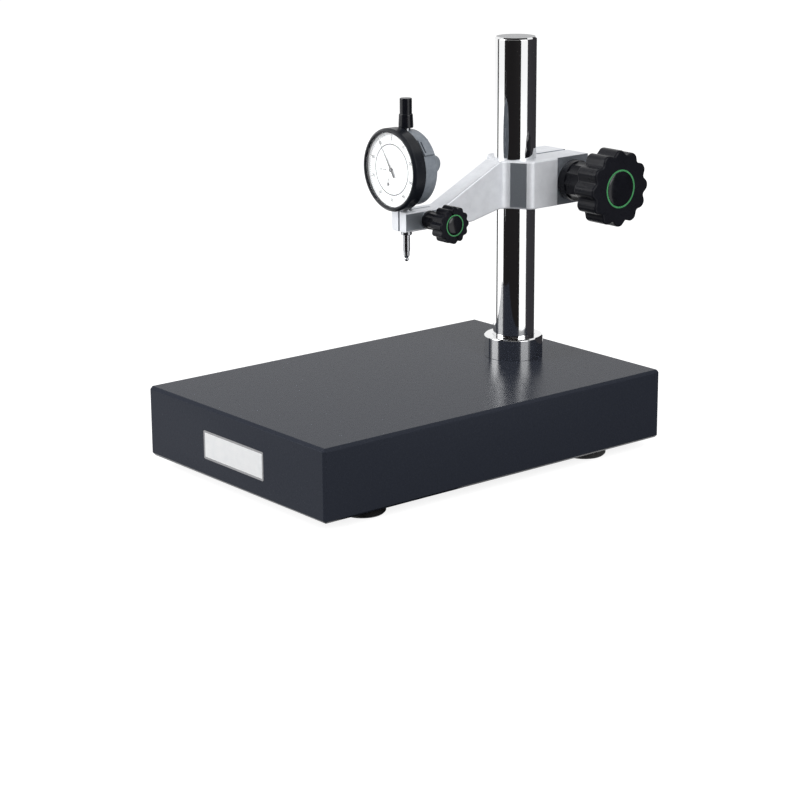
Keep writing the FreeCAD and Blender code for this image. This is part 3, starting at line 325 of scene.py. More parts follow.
def dial_white():
    finish = new_finish("dial_white", (0.86, 0.87, 0.88), 0.5, specular=0.3)
    clouds = grain(finish, 160, detail=3, roughness=0.5)
    colour_by(finish, clouds, (0.3, (0.83, 0.845, 0.86)), (0.7, (0.89, 0.895, 0.9)))
    add_bump(finish, clouds, "Fac", 0.01 * MM, strength=0.2)
    return finish


def printing_ink(name, colour):
    finish = new_finish(name, colour, 0.55, specular=0.3)
    spread = grain(finish, 2400, detail=3, roughness=0.6)
    paler = tuple(part * 1.35 + 0.01 for part in colour)
    colour_by(finish, spread, (0.35, colour), (0.75, paler))
    return finish


def crystal_glass():
    finish = new_finish("crystal_glass", (1, 1, 1), 0.02)
    shader = shader_of(finish)
    shader.inputs["Transmission Weight"].default_value = 1
    shader.inputs["IOR"].default_value = 1.45
    smears = grain(finish, 60, detail=2, roughness=0.5)
    add_bump(finish, smears, "Fac", 0.004 * MM, strength=0.1)
    path = add_node(finish, "ShaderNodeLightPath")
    clear = add_node(finish, "ShaderNodeBsdfTransparent", Color=(0.97, 0.98, 0.98, 1))
    mix = add_node(finish, "ShaderNodeMixShader")
    output = finish.node_tree.nodes["Material Output"]
    join(finish, path, "Is Shadow Ray", mix, "Fac")
    join(finish, shader, "BSDF", mix, 1)
    join(finish, clear, "BSDF", mix, 2)
    join(finish, mix, "Shader", output, "Surface")
    return finish


# %% [markdown]
# Every slot of the record gets its finish. The milled places, the turned ends and the
# ink have no slot of their own, because they lie on parts that have one already.

# %% Make the finishes, one for each slot of the record
MILLED = milled_aluminium()
TURNED_END = worked_metal("turned_end", (0.3, 0.305, 0.315), (0.42, 0.425, 0.435),
                          smooth=0.3, rough=0.4, stretch=(2, 2, 1))
FINISHES = {
    "granite": granite(),
    "chromed_steel": chrome(),
    "black_steel": worked_metal("black_steel", (0.03, 0.03, 0.032), (0.07, 0.07, 0.075),
                                smooth=0.3, rough=0.45, stretch=ROUND_MARKS, metallic=0.6),
    "zinc_steel": worked_metal("zinc_steel", (0.45, 0.46, 0.48), (0.62, 0.63, 0.65),
                               smooth=0.24, rough=0.36, stretch=ROUND_MARKS),
    "blasted_aluminium": blasted_aluminium(),
    "foot_rubber": rubber(),
    "brass": worked_metal("brass", (0.55, 0.38, 0.14), (0.76, 0.57, 0.25),
                          smooth=0.2, rough=0.32, stretch=(2, 2, 2)),
    "knob_plastic": knob_plastic(),
    "green_plastic": green_plastic(),
    "gloss_black_plastic": gloss_black_plastic(),
    "grey_case": grey_enamel(),
    "ground_steel": worked_metal("ground_steel", (0.42, 0.43, 0.45), (0.6, 0.61, 0.63),
                                 smooth=0.14, rough=0.24, stretch=ROUND_MARKS),
    "white_dial": dial_white(),
    "bezel_black": satin_black(),
    "crystal_glass": crystal_glass(),
    "hand_black": printing_ink("hand_black", (0.02, 0.02, 0.022)),
}
INK = printing_ink("dial_ink", (0.035, 0.037, 0.042))
SLOT_OF = {part["node"]: part["material_slot"] for part in frame["record"]["subparts"]}
for name, node in frame["nodes"].items():
    node.data.materials.clear()
    node.data.materials.append(FINISHES[SLOT_OF[name]])
print("finishes", len(FINISHES), "on", len(frame["nodes"]), "nodes")

# %% [markdown]
# New pieces start as a bmesh and end the same way: doubles are merged, faces point
# outwards, corners sharper than an angle stay sharp and the rest is shaded smooth. The
# piece then rides on its body and takes the slot of the node that it stands for.

# %% Helpers for the pieces
DOUBLES = 1e-7


def sharp_edges(bm, degrees=30):
    """The edges where two faces meet at more than an angle."""
    limit = math.radians(degrees)
    return [edge for edge in bm.edges
            if len(edge.link_faces) == 2 and edge.calc_face_angle(0) > limit]


def ease(bm, edges, width, segments=2):
    """Round edges off by a small radius."""
    bmesh.ops.bevel(bm, geom=edges, offset=width, offset_type="OFFSET", segments=segments,
                    profile=0.5, affect="EDGES", clamp_overlap=True, material=-1)


def mesh_of(bm, name):
    """Turn a bmesh into a mesh, and free it."""
    mesh = bpy.data.meshes.new(name)
    bm.to_mesh(mesh)
    bm.free()
    return mesh


def make_piece(bm, name, body, slot, finish=None, stands_for=(), flip=True, angle=30):
    """Turn a bmesh into a piece that rides on a body; flip lets its faces be turned out."""
    bmesh.ops.remove_doubles(bm, verts=bm.verts, dist=DOUBLES)
    if flip:
        bmesh.ops.recalc_face_normals(bm, faces=bm.faces)
    mesh = mesh_of(bm, name)
    mesh.polygons.foreach_set("use_smooth", [True] * len(mesh.polygons))
    mesh.set_sharp_from_angle(angle=math.radians(angle))
    mesh.materials.append(finish or FINISHES[slot])
    piece = put_in_scene(name, mesh)
    even = piece.modifiers.new("even_shading", "WEIGHTED_NORMAL")
    even.keep_sharp = True
    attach(piece, body)
    if stands_for:
        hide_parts(*stands_for)
    return piece


# %% [markdown]
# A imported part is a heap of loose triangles, so nothing can be rounded or cut on it. A
# copy is welded into one skin first. Slivers go, and triangles that lie in one plane
# become one face again. Only then are the real edges left over, and can be worked.

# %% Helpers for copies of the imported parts
BODY_OF = {}
for body_name, members in frame["record"]["behaviour"]["bodies"].items():
    for member in members:
        BODY_OF[member] = body_name
WELD = 0.002 * MM
SLIVER = 0.001 * MM
FLAT_ENOUGH = math.radians(0.4)


def merged_copy(node):
    """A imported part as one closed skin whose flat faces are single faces."""
    bm = bmesh.new()
    bm.from_mesh(frame["nodes"][node].data)
    bmesh.ops.remove_doubles(bm, verts=bm.verts, dist=WELD)
    bmesh.ops.dissolve_degenerate(bm, edges=bm.edges, dist=SLIVER)
    bmesh.ops.dissolve_limit(bm, angle_limit=FLAT_ENOUGH, verts=bm.verts, edges=bm.edges)
    return bm


def finish_copy(bm, node):
    """Turn a worked merged copy into the piece that stands for its part."""
    return make_piece(bm, node + "_finished", BODY_OF[node], SLOT_OF[node], stands_for=[node],
                      flip=False)


def eased_copy(node, width):
    """A merged copy with its sharp edges rounded off, or left alone at a width of zero."""
    bm = merged_copy(node)
    if width:
        ease(bm, sharp_edges(bm), width)
    return finish_copy(bm, node)


def slice_faces(bm, faces, point, normal):
    """Split some faces along a plane."""
    rims = {edge for face in faces for edge in face.edges}
    corners = {vert for face in faces for vert in face.verts}
    bmesh.ops.bisect_plane(bm, geom=[*faces, *rims, *corners], plane_co=point, plane_no=normal)


def second_finish(piece, finish, picks):
    """Give a second finish to the faces that a test of centre and normal picks."""
    piece.data.materials.append(finish)
    for face in piece.data.polygons:
        if picks(face.center, face.normal):
            face.material_index = 1


# %% [markdown]
# Turned parts come from a profile, as on a lathe: a line of radius and height that is
# spun round the Z axis. Parts that lie along another axis are then turned to it.

# %% Helpers for turned parts
def profile_line(bm, profile):
    """A line through points of radius and height, in the plane of X and Z."""
    points = [bm.verts.new((radius, 0, height)) for radius, height in profile]
    return points + [bm.edges.new(pair) for pair in zip(points, points[1:])]


def spun(profile, segments):
    """A profile, spun all the way round the Z axis."""
    bm = bmesh.new()
    bmesh.ops.spin(bm, geom=profile_line(bm, profile), cent=(0, 0, 0), axis=(0, 0, 1),
                   angle=2 * math.pi, steps=segments, use_merge=True)
    bmesh.ops.remove_doubles(bm, verts=bm.verts, dist=DOUBLES)
    return bm


def move(bm, *matrices):
    """Apply matrices in turn to the whole bmesh."""
    for matrix in matrices:
        bmesh.ops.transform(bm, matrix=matrix, verts=bm.verts)


FACE_FRONT = Matrix.Rotation(math.pi / 2, 4, "X")
FACE_RIGHT = Matrix.Rotation(math.pi / 2, 4, "Y")


def middle(node):
    """The middle of a node's box."""
    low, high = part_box(node)
    return (low + high) / 2


# %% [markdown]
# The column is turned, ground and chromed bar. Its only shape is the chamfer at each
# end, so its profile has four corners and the spin does the rest. Many steps are needed:
# in a mirror finish a coarse spin shows as facets in the reflections. The ends were faced
# on the lathe and never polished, so they get a duller second finish.

# %% Column
column_low, column_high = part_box("column")
column_centre = middle("column")
COLUMN_RADIUS = (column_high.x - column_low.x) / 2
COLUMN_CHAMFER = 1.2 * MM
COLUMN_ROUND = 0.25 * MM
MIRROR_STEPS = 256
TURNED_ANGLE = 20
LEVEL = 0.95
bm = spun([
    (0, column_low.z),
    (COLUMN_RADIUS - COLUMN_CHAMFER, column_low.z),
    (COLUMN_RADIUS, column_low.z + COLUMN_CHAMFER),
    (COLUMN_RADIUS, column_high.z - COLUMN_CHAMFER),
    (COLUMN_RADIUS - COLUMN_CHAMFER, column_high.z),
    (0, column_high.z),
], MIRROR_STEPS)
ease(bm, sharp_edges(bm, TURNED_ANGLE), COLUMN_ROUND)
move(bm, Matrix.Translation((column_centre.x, column_centre.y, 0)))
column = make_piece(bm, "column_finished", "column", "chromed_steel", stands_for=["column"])
second_finish(column, TURNED_END, lambda centre, normal: abs(normal.z) > LEVEL)

# %% [markdown]
# A bright ring hides the bore in the granite. It is turned in the same way, but its
# profile is a closed line round a bore that is a hair wider than the column.

# %% Ring at the foot of the column
ring_low, ring_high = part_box("column_ring")
RING_RADIUS = (ring_high.x - ring_low.x) / 2
RING_CHAMFER = 0.9 * MM
RING_EDGE_ROUND = 0.2 * MM
RING_BORE = COLUMN_RADIUS + 0.05 * MM
bm = spun([
    (RING_BORE, ring_low.z),
    (RING_RADIUS, ring_low.z),
    (RING_RADIUS, ring_high.z - RING_CHAMFER),
    (RING_RADIUS - RING_CHAMFER, ring_high.z),
    (RING_BORE, ring_high.z),
    (RING_BORE, ring_low.z),
], MIRROR_STEPS)
ease(bm, sharp_edges(bm, TURNED_ANGLE), RING_EDGE_ROUND)
move(bm, Matrix.Translation((column_centre.x, column_centre.y, 0)))
make_piece(bm, "column_ring_finished", "base", "chromed_steel", stands_for=["column_ring"])
print("column radius", round(COLUMN_RADIUS / MM, 2), "ring radius", round(RING_RADIUS / MM, 2))

# %% [markdown]
# A clamp knob has twelve lobes, so that fingers find a hold. Seen from the front each
# lobe is a rounded point and each hollow between two is a shallow arc. A circle gives
# the outline: every vertex moves inwards by the depth that its angle asks for. A higher
# sharpness makes the lobes wider and the hollows narrower.

# %% Outline with lobes
KNOB_LOBES = 12
LOBE_STEPS = 20


def lobed_circle(bm, radius, depth, sharpness, height):
    """A closed outline whose radius dips by depth between its lobes."""
    outline = bmesh.ops.create_circle(bm, cap_ends=True, cap_tris=False, radius=radius,
                                      segments=KNOB_LOBES * LOBE_STEPS)
    for vertex in outline["verts"]:
        angle = math.atan2(vertex.co.y, vertex.co.x)
        dip = abs(math.sin(angle * KNOB_LOBES / 2)) ** sharpness
        shrink = 1 - depth / radius * dip
        vertex.co.x *= shrink
        vertex.co.y *= shrink
        vertex.co.z = height
    return outline["verts"]


def raised(bm, verts, height):
    """Extrude the face of an outline upwards, and return the new face."""
    face = next(f for f in bm.faces if set(f.verts) == set(verts))
    grown = bmesh.ops.extrude_face_region(bm, geom=[face])
    top = [part for part in grown["geom"] if isinstance(part, bmesh.types.BMVert)]
    bmesh.ops.translate(bm, vec=(0, 0, height), verts=top)
    return next(f for f in bm.faces if set(f.verts) == set(top))


# %% [markdown]
# The outline is extruded to the head and the rim is rounded generously. The front has a
# round seat for the green ring: its face is taken out, the rim is bridged to a circle, and
# the circle is sunk and closed. The neck is a second outline with shallow ribs, and it
# ends in a smooth collar at the arm.

# %% Knobs
HEAD_SHARPNESS = 3
RIB_SHARPNESS = 0.8
RIB_DEPTH = 0.075
RIM_STEPS = 4
COLLAR_STEPS = 96
COLLAR_ROUND = 0.4 * MM
KNOB_SMOOTH_ANGLE = 38


def clamp_knob(node, ring_node, notch, neck_radius, neck_length, collar, rim):
    """A lobed head on a ribbed neck, turned to point along +X."""
    low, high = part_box(node)
    ring_low, ring_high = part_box(ring_node)
    radius = (high.z - low.z) / 2
    seat = (ring_high.z - ring_low.z) / 2
    length = high.x - low.x
    centre = middle(node)

    bm = bmesh.new()
    base = lobed_circle(bm, radius, notch, HEAD_SHARPNESS, neck_length)
    top = raised(bm, base, length - neck_length)
    rims = list(top.edges) + list(next(f for f in bm.faces if set(f.verts) == set(base)).edges)
    ease(bm, rims, rim, RIM_STEPS)
    whole = [f for f in bm.faces if len(f.verts) > KNOB_LOBES]
    front = max(whole, key=lambda f: f.calc_center_median().z)
    bmesh.ops.delete(bm, geom=[front], context="FACES_ONLY")
    edge = [e for e in bm.edges if len(e.link_faces) == 1]
    pit = bmesh.ops.create_circle(bm, cap_ends=False, radius=seat,
                                  segments=KNOB_LOBES * LOBE_STEPS)
    for vertex in pit["verts"]:
        vertex.co.z = length
    pit_edge = [e for e in bm.edges if e.verts[0] in pit["verts"] and e.verts[1] in pit["verts"]]
    bmesh.ops.bridge_loops(bm, edges=edge + pit_edge)
    sunk = bmesh.ops.extrude_edge_only(bm, edges=pit_edge)
    floor = [part for part in sunk["geom"] if isinstance(part, bmesh.types.BMVert)]
    bmesh.ops.translate(bm, vec=(0, 0, ring_low.x - high.x), verts=floor)
    floor_edges = [e for e in bm.edges if e.verts[0] in floor and e.verts[1] in floor]
    bmesh.ops.contextual_create(bm, geom=floor_edges)

    neck = lobed_circle(bm, neck_radius, neck_radius * RIB_DEPTH, RIB_SHARPNESS, collar)
    raised(bm, neck, neck_length - collar + rim)
    smooth = bmesh.ops.create_circle(bm, cap_ends=True, radius=neck_radius,
                                     segments=COLLAR_STEPS)
    lip = raised(bm, smooth["verts"], collar)
    ease(bm, list(lip.edges), COLLAR_ROUND)
    move(bm, FACE_RIGHT, Matrix.Translation((low.x, centre.y, centre.z)))
    make_piece(bm, node + "_finished", BODY_OF[node], SLOT_OF[node], stands_for=[node],
               angle=KNOB_SMOOTH_ANGLE)


clamp_knob("column_knob", "column_knob_ring", notch=3 * MM, neck_radius=14.5 * MM,
           neck_length=29 * MM, collar=6 * MM, rim=1.4 * MM)
clamp_knob("gauge_knob", "gauge_knob_ring", notch=1.4 * MM, neck_radius=6.5 * MM,
           neck_length=16.2 * MM, collar=2.5 * MM, rim=0.8 * MM)
RING_ROUND = 0.12 * MM
for ring in ("column_knob_ring", "gauge_knob_ring"):
    eased_copy(ring, RING_ROUND)

# %% [markdown]
# Each knob is closed by a black cap with a shallow dome, in which the room shows as one
# soft patch of light. A quarter of an ellipse gives the dome, and the spin closes it.

# %% Domed caps of the knobs
DOME_STEPS = 10
CAP_STEPS = 96
CAP_SMOOTH_ANGLE = 50


def domed_cap(node, dome):
    """A round cap whose front is a shallow dome, turned to point along +X."""
    low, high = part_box(node)
    centre = middle(node)
    radius = (high.z - low.z) / 2
    rim = high.x - low.x - dome
    profile = [(0, 0), (radius, 0)]
    for step in range(DOME_STEPS + 1):
        angle = math.pi / 2 * step / DOME_STEPS
        profile.append((radius * math.cos(angle), rim + dome * math.sin(angle)))
    bm = spun(profile, CAP_STEPS)
    move(bm, FACE_RIGHT, Matrix.Translation((low.x, centre.y, centre.z)))
    make_piece(bm, node + "_finished", BODY_OF[node], SLOT_OF[node], stands_for=[node],
               angle=CAP_SMOOTH_ANGLE)


domed_cap("column_knob_cap", 1.6 * MM)
domed_cap("gauge_knob_cap", 1.4 * MM)

# %% [markdown]
# Parts whose shape is already right in the frame only lack what a workshop gives every
# edge: a small round that catches the light. A merged copy gets that round, and stands
# for its part. The widths are in millimetres. The spindle gets none, because the teeth of
# its rack have to stay sharp.

# %% Parts with eased edges
EDGE_ROUNDS = {
    "gauge_case": 0.2,
    "gauge_back": 0.25,
    "gauge_stem": 0.1,
    "top_bushing": 0.1,
    "bezel": 0.12,
    "crystal": 0.1,
    "spindle": 0,
    "contact_point": 0.06,
    "lifting_cap": 0.2,
    "foot_front_left": 0.4,
    "foot_front_right": 0.4,
    "foot_rear_left": 0.4,
    "foot_rear_right": 0.4,
    "foot_screws": 0.15,
    "column_bolt": 0.3,
    "column_washer": 0.2,
    "column_clamp_washer": 0.15,
    "gauge_clamp_washer": 0.1,
    "main_hand": 0.03,
    "counter_hand": 0.03,
}
for node, rounding in EDGE_ROUNDS.items():
    eased_copy(node, rounding * MM)
print("eased", len(EDGE_ROUNDS), "parts")

# %% [markdown]
# The arm was milled in three places: on both sides of the clamp ears, on both sides of
# the gauge holder, and on the slanting faces between the two. The holder runs on into the
# long cast flank without an edge, so the flank is cut across where the milling stopped.
# The milled faces then take the second finish.

# %% Arm with cast and milled faces
MILLED_HOLDER_END = 27 * MM
MILLED_EARS_START = 120 * MM
BLOCK_START = 86 * MM
SIDEWAYS = 0.98
SLANT_LEAST = 0.3
SLANT_MOST = 0.56
CASTING_ROUND = 0.35 * MM

bm = merged_copy("arm")
flanks = [face for face in bm.faces if abs(face.normal.x) > SIDEWAYS]
slice_faces(bm, flanks, (0, MILLED_HOLDER_END, 0), (0, 1, 0))
ease(bm, sharp_edges(bm), CASTING_ROUND)
arm = finish_copy(bm, "arm")


def is_milled(centre, normal):
    """Whether a face of the arm belongs to one of the milled places."""
    upright = abs(normal.z) < 0.02
    side = abs(normal.x) > SIDEWAYS
    at_an_end = centre.y < MILLED_HOLDER_END or centre.y > MILLED_EARS_START
    slanting = normal.y < -SLANT_LEAST and SLANT_LEAST < abs(normal.x) < SLANT_MOST
    return upright and ((side and at_an_end) or (slanting and centre.y > BLOCK_START))


second_finish(arm, MILLED, is_milled)
print("milled faces", sum(face.material_index for face in arm.data.polygons))

# %% [markdown]
# The dial is read to a hundredth of a millimetre. Its print could be a picture on the
# enamel, but thin bars and circles stay sharp at any distance, and as real geometry they
# turn with the ring that they are printed on.

# %% Print on the dial
PRINT_THICKNESS = 0.02 * MM
CIRCLE_STEPS = 128
gauge_axis = Vector((middle("inner_dial").x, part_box("outer_dial")[0].y, middle("outer_dial").z))


def add_bar(bm, inner, outer, width, degrees, centre=(0, 0)):
    """A flat mark from an inner to an outer radius, at an angle clockwise from the top."""
    bar = bmesh.ops.create_cube(bm, size=1)["verts"]
    shape = Matrix.Diagonal((width, outer - inner, PRINT_THICKNESS, 1))
    place = Matrix.Translation((0, (inner + outer) / 2, 0))
    turn = Matrix.Rotation(-math.radians(degrees), 4, "Z")
    offset = Matrix.Translation((centre[0], centre[1], 0))
    bmesh.ops.transform(bm, matrix=offset @ turn @ place @ shape, verts=bar)


def add_ring(bm, radius, width, centre=(0, 0)):
    """A thin printed circle."""
    band = spun([
        (radius - width / 2, -PRINT_THICKNESS / 2),
        (radius + width / 2, -PRINT_THICKNESS / 2),
        (radius + width / 2, PRINT_THICKNESS / 2),
        (radius - width / 2, PRINT_THICKNESS / 2),
        (radius - width / 2, -PRINT_THICKNESS / 2),
    ], CIRCLE_STEPS)
    move(band, Matrix.Translation((centre[0], centre[1], 0)))
    mesh = mesh_of(band, "circle")
    bm.from_mesh(mesh)
    bpy.data.meshes.remove(mesh)


# %% [markdown]
# Numbers are text curves. The font's size counts a whole line, so a figure's height is
# divided by its share of that. The strokes are swelled a little, because the built-in font
# is thinner than the figures on a gauge. The text becomes a mesh before it gets its place.

# %% Figures
FIGURE_SHARE = 0.7
STROKE_SWELL = 0.03


def add_text(bm, words, height, across, along):
    """Words as a flat mesh, with their middle at a place on the dial."""
    curve = bpy.data.curves.new("words", "FONT")
    curve.body = words
    curve.size = height / FIGURE_SHARE
    curve.offset = height * STROKE_SWELL
    curve.align_x = "CENTER"
    curve.align_y = "CENTER"
    curve.extrude = PRINT_THICKNESS / 2
    holder = put_in_scene("words", curve)
    bpy.context.view_layer.update()
    mesh = bpy.data.meshes.new_from_object(holder)
    bpy.data.objects.remove(holder)
    bpy.data.curves.remove(curve)
    mesh.transform(Matrix.Translation((across, along, 0)))
    bm.from_mesh(mesh)
    bpy.data.meshes.remove(mesh)


def print_piece(bm, name, body):
    """Lay a print on the dial's front face."""
    lift = Matrix.Translation((gauge_axis.x, gauge_axis.y - PRINT_THICKNESS / 2, gauge_axis.z))
    move(bm, FACE_FRONT, lift)
    make_piece(bm, name, body, "white_dial", INK, flip=False)


def add_numbers(bm, numbers, turn, radius, height, centre=(0, 0)):
    """Upright numbers round a centre, each at its share of a whole turn."""
    for number in numbers:
        angle = 2 * math.pi * number / turn
        across = centre[0] + radius * math.sin(angle)
        along = centre[1] + radius * math.cos(angle)
        add_text(bm, str(number), height, across, along)


# %% [markdown]
# The outer dial has a hundred marks, one for each hundredth. Every fifth is longer, and
# every tenth is also wider and numbered. It belongs to the bezel, which turns it to zero.

# %% Outer ring of a hundred marks
MARKS = 100
MARKS_END = 24.4 * MM
LONG_MARK = 2.2 * MM
SHORT_MARK = 1.5 * MM
WIDE_MARK = 0.34 * MM
THIN_MARK = 0.2 * MM
outer_print = bmesh.new()
for mark in range(MARKS):
    long = LONG_MARK if mark % 5 == 0 else SHORT_MARK
    width = WIDE_MARK if mark % 10 == 0 else THIN_MARK
    add_bar(outer_print, MARKS_END - long, MARKS_END, width, mark * 360 / MARKS)
add_numbers(outer_print, range(0, MARKS, 10), MARKS, radius=20.9 * MM, height=2.1 * MM)
print_piece(outer_print, "outer_dial_print", "bezel")

# %% [markdown]
# The inner dial stays with the case. It carries a bold circle, the unit, and the small
# counter, whose hand moves on by one mark for each turn of the long one.

# %% Inner circle, counter and unit
COUNTER_MARKS = 10
COUNTER_RADIUS = 4.9 * MM
COUNTER_MARK_LENGTH = 0.8 * MM
UNIT_PLACE = (-9.6 * MM, -0.8 * MM)
counter_middle = middle("counter_wheel")
counter_centre = (counter_middle.x - gauge_axis.x, counter_middle.z - gauge_axis.z)
inner_print = bmesh.new()
add_ring(inner_print, radius=17.4 * MM, width=0.8 * MM)
add_ring(inner_print, COUNTER_RADIUS, width=0.12 * MM, centre=counter_centre)
for mark in range(COUNTER_MARKS):
    add_bar(inner_print, COUNTER_RADIUS - COUNTER_MARK_LENGTH, COUNTER_RADIUS, 0.14 * MM,
            mark * 360 / COUNTER_MARKS, counter_centre)
add_numbers(inner_print, range(0, COUNTER_MARKS, 2), COUNTER_MARKS, radius=3.2 * MM,
            height=0.95 * MM, centre=counter_centre)
add_text(inner_print, "0.01 mm", 1.5 * MM, *UNIT_PLACE)
print_piece(inner_print, "inner_dial_print", "gauge")

# %% [markdown]
# The front of the granite carries a small white name plate in a grey metal border. It is
# left bare here. The plate lies in a pocket a hair deeper than itself, so that it stays
# inside the frame: four planes cut the front face into nine, and the middle one is pushed
# in. The stone's lower edges stay sharp, because its bores open there.

# %% Granite with a bare plate on its front
PLATE_WIDTH = 68 * MM
PLATE_HEIGHT = 20 * MM
PLATE_MIDDLE = 31 * MM
PLATE_SET_BACK = 0.02 * MM
POCKET_DEPTH = 0.3 * MM
POCKET_SLACK = 0.15 * MM
STONE_ROUND = 0.35 * MM
stone_low, stone_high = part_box("granite_base")
PLATE_CENTRE = Vector((0, stone_low.y + PLATE_SET_BACK, PLATE_MIDDLE))


def front_faces(bm):
    """The faces in the plane of the granite's front."""
    return [face for face in bm.faces
            if face.normal.y < -0.99
            and abs(face.calc_center_median().y - stone_low.y) < 0.05 * MM]


bm = merged_copy("granite_base")
eased = [edge for edge in sharp_edges(bm)
         if max(vert.co.z for vert in edge.verts) > stone_low.z + MM]
ease(bm, eased, STONE_ROUND)
half_width = PLATE_WIDTH / 2 + POCKET_SLACK
half_height = PLATE_HEIGHT / 2 + POCKET_SLACK
for reach in (-half_width, half_width):
    slice_faces(bm, front_faces(bm), PLATE_CENTRE + Vector((reach, 0, 0)), (1, 0, 0))
for reach in (-half_height, half_height):
    slice_faces(bm, front_faces(bm), PLATE_CENTRE + Vector((0, 0, reach)), (0, 0, 1))
pocket = min(front_faces(bm),
             key=lambda face: (face.calc_center_median() - PLATE_CENTRE).length)
bmesh.ops.inset_region(bm, faces=[pocket], thickness=0, depth=-POCKET_DEPTH)
finish_copy(bm, "granite_base")
print("pocket", [round(size / MM, 2) for size in (2 * half_width, 2 * half_height)])

# %% [markdown]
# The plate's border is one inset of a rounded rectangle. Inside it the metal lies a
# little lower, and the white field lies on that.

# %% Border and field of the plate
PLATE_BORDER = 1.5 * MM
PLATE_THICKNESS = 0.25 * MM
BORDER_LIP = 0.06 * MM
FIELD_THICKNESS = 0.05 * MM
FIELD_SET_BACK = 0.04 * MM
CORNER_STEPS = 5


def thin_plate(width, height, thickness, corner):
    """A flat plate with rounded corners that faces +Z, its face at height zero."""
    bm = bmesh.new()
    bmesh.ops.create_cube(bm, size=1)
    move(bm, Matrix.Diagonal((width, height, thickness, 1)),
         Matrix.Translation((0, 0, -thickness / 2)))
    uprights = [e for e in bm.edges if abs(e.verts[0].co.z - e.verts[1].co.z) > thickness / 2]
    ease(bm, uprights, corner, CORNER_STEPS)
    return bm


bm = thin_plate(PLATE_WIDTH, PLATE_HEIGHT, PLATE_THICKNESS, corner=1.2 * MM)
face = max(bm.faces, key=lambda f: f.calc_center_median().z)
bmesh.ops.inset_region(bm, faces=[face], thickness=PLATE_BORDER, depth=0)
bmesh.ops.translate(bm, vec=(0, 0, -BORDER_LIP), verts=face.verts)
move(bm, FACE_FRONT, Matrix.Translation(PLATE_CENTRE))
plate_border = worked_metal("plate_border", (0.2, 0.2, 0.21), (0.32, 0.32, 0.33),
                            smooth=0.3, rough=0.45, stretch=(6, 1, 1))
make_piece(bm, "name_plate_border", "base", "zinc_steel", plate_border)

field_width = PLATE_WIDTH - 2 * PLATE_BORDER
field_height = PLATE_HEIGHT - 2 * PLATE_BORDER
bm = thin_plate(field_width, field_height, FIELD_THICKNESS, corner=0.4 * MM)
move(bm, Matrix.Translation((0, 0, -FIELD_SET_BACK)), FACE_FRONT,
     Matrix.Translation(PLATE_CENTRE))
make_piece(bm, "name_plate_field", "base", "white_dial")

# %% [markdown]
# The floor is plain and pale. It sends little light back up to the stand, but the camera
# and every mirror see it as white: that glow is added only for camera, glossy and
# transmission rays, and the floor keeps the soft shadow of the stand.

# %% Floor
FLOOR_GREY = 0.42
FLOOR_GLOW = 0.86
FLOOR_RADIUS = 40


def ray_test(owner, *rays):
    """A node whose value is 1 for the named kinds of ray and 0 for the others."""
    path = add_node(owner, "ShaderNodeLightPath")
    test, output = path, rays[0]
    for ray in rays[1:]:
        either = add_node(owner, "ShaderNodeMath")
        either.operation = "MAXIMUM"
        join(owner, test, output, either, 0)
        join(owner, path, ray, either, 1)
        test, output = either, "Value"
    return test


floor_finish = new_finish("floor", (FLOOR_GREY, FLOOR_GREY, FLOOR_GREY), 0.9, specular=0)
seen = ray_test(floor_finish, "Is Camera Ray", "Is Glossy Ray", "Is Transmission Ray")
strength = add_node(floor_finish, "ShaderNodeMath")
strength.operation = "MULTIPLY"
strength.inputs[1].default_value = FLOOR_GLOW
glow = add_node(floor_finish, "ShaderNodeEmission", Color=(1, 1, 1, 1))
total = add_node(floor_finish, "ShaderNodeAddShader")
join(floor_finish, seen, "Value", strength, 0)
join(floor_finish, strength, "Value", glow, "Strength")
join(floor_finish, shader_of(floor_finish), "BSDF", total, 0)
join(floor_finish, glow, "Emission", total, 1)
join(floor_finish, total, "Shader", floor_finish.node_tree.nodes["Material Output"], "Surface")
bm = bmesh.new()
bmesh.ops.create_circle(bm, cap_ends=True, radius=FLOOR_RADIUS, segments=64)
floor_mesh = mesh_of(bm, "floor")
floor_mesh.materials.append(floor_finish)
put_in_scene("floor", floor_mesh)

# %% [markdown]
# The world gives plain light from all round. The camera and every mirror see it as white,
# and everything else gets less than half of that from it. The helpers for materials work
# here too, because a world has the same kind of node tree.

# %% World
AMBIENT = 0.45
world = bpy.data.worlds.new("studio")
world.use_nodes = True
bpy.context.scene.world = world
background = world.node_tree.nodes["Background"]
background.inputs["Color"].default_value = (1, 1, 1, 1)
seen = ray_test(world, "Is Camera Ray", "Is Glossy Ray")
level = add_node(world, "ShaderNodeMapRange", To_Min=AMBIENT, To_Max=1)
join(world, seen, "Value", level, "Value")
join(world, level, "Result", background, "Strength")

# %% [markdown]
# A large soft lamp stands high on the left. On the right there are two in one: the first
# is there for the highlights alone, and the second only fills the shadows. So the shine
# of the metal and the brightness of the matte parts can be set apart from each other.

# %% Lamps
STAND_MIDDLE = Vector((0, 0, 0.15))
LAMP_DISTANCE = 1.5
LAMP_WIDTH = 0.85


def softbox(name, azimuth, elevation, height, radiance):
    """A soft lamp that faces the stand; azimuth is counted from +X towards +Y."""
    data = bpy.data.lights.new(name, "AREA")
    data.shape = "RECTANGLE"
    data.size = LAMP_WIDTH
    data.size_y = height
    data.energy = radiance * math.pi * LAMP_WIDTH * height
    light = put_in_scene(name, data)
    around = math.radians(azimuth)
    up = math.radians(elevation)
    away = Vector((math.cos(around) * math.cos(up), math.sin(around) * math.cos(up), math.sin(up)))
    light.location = STAND_MIDDLE + away * LAMP_DISTANCE
    light.rotation_mode = "QUATERNION"
    light.rotation_quaternion = away.to_track_quat("Z", "Y")
    return light


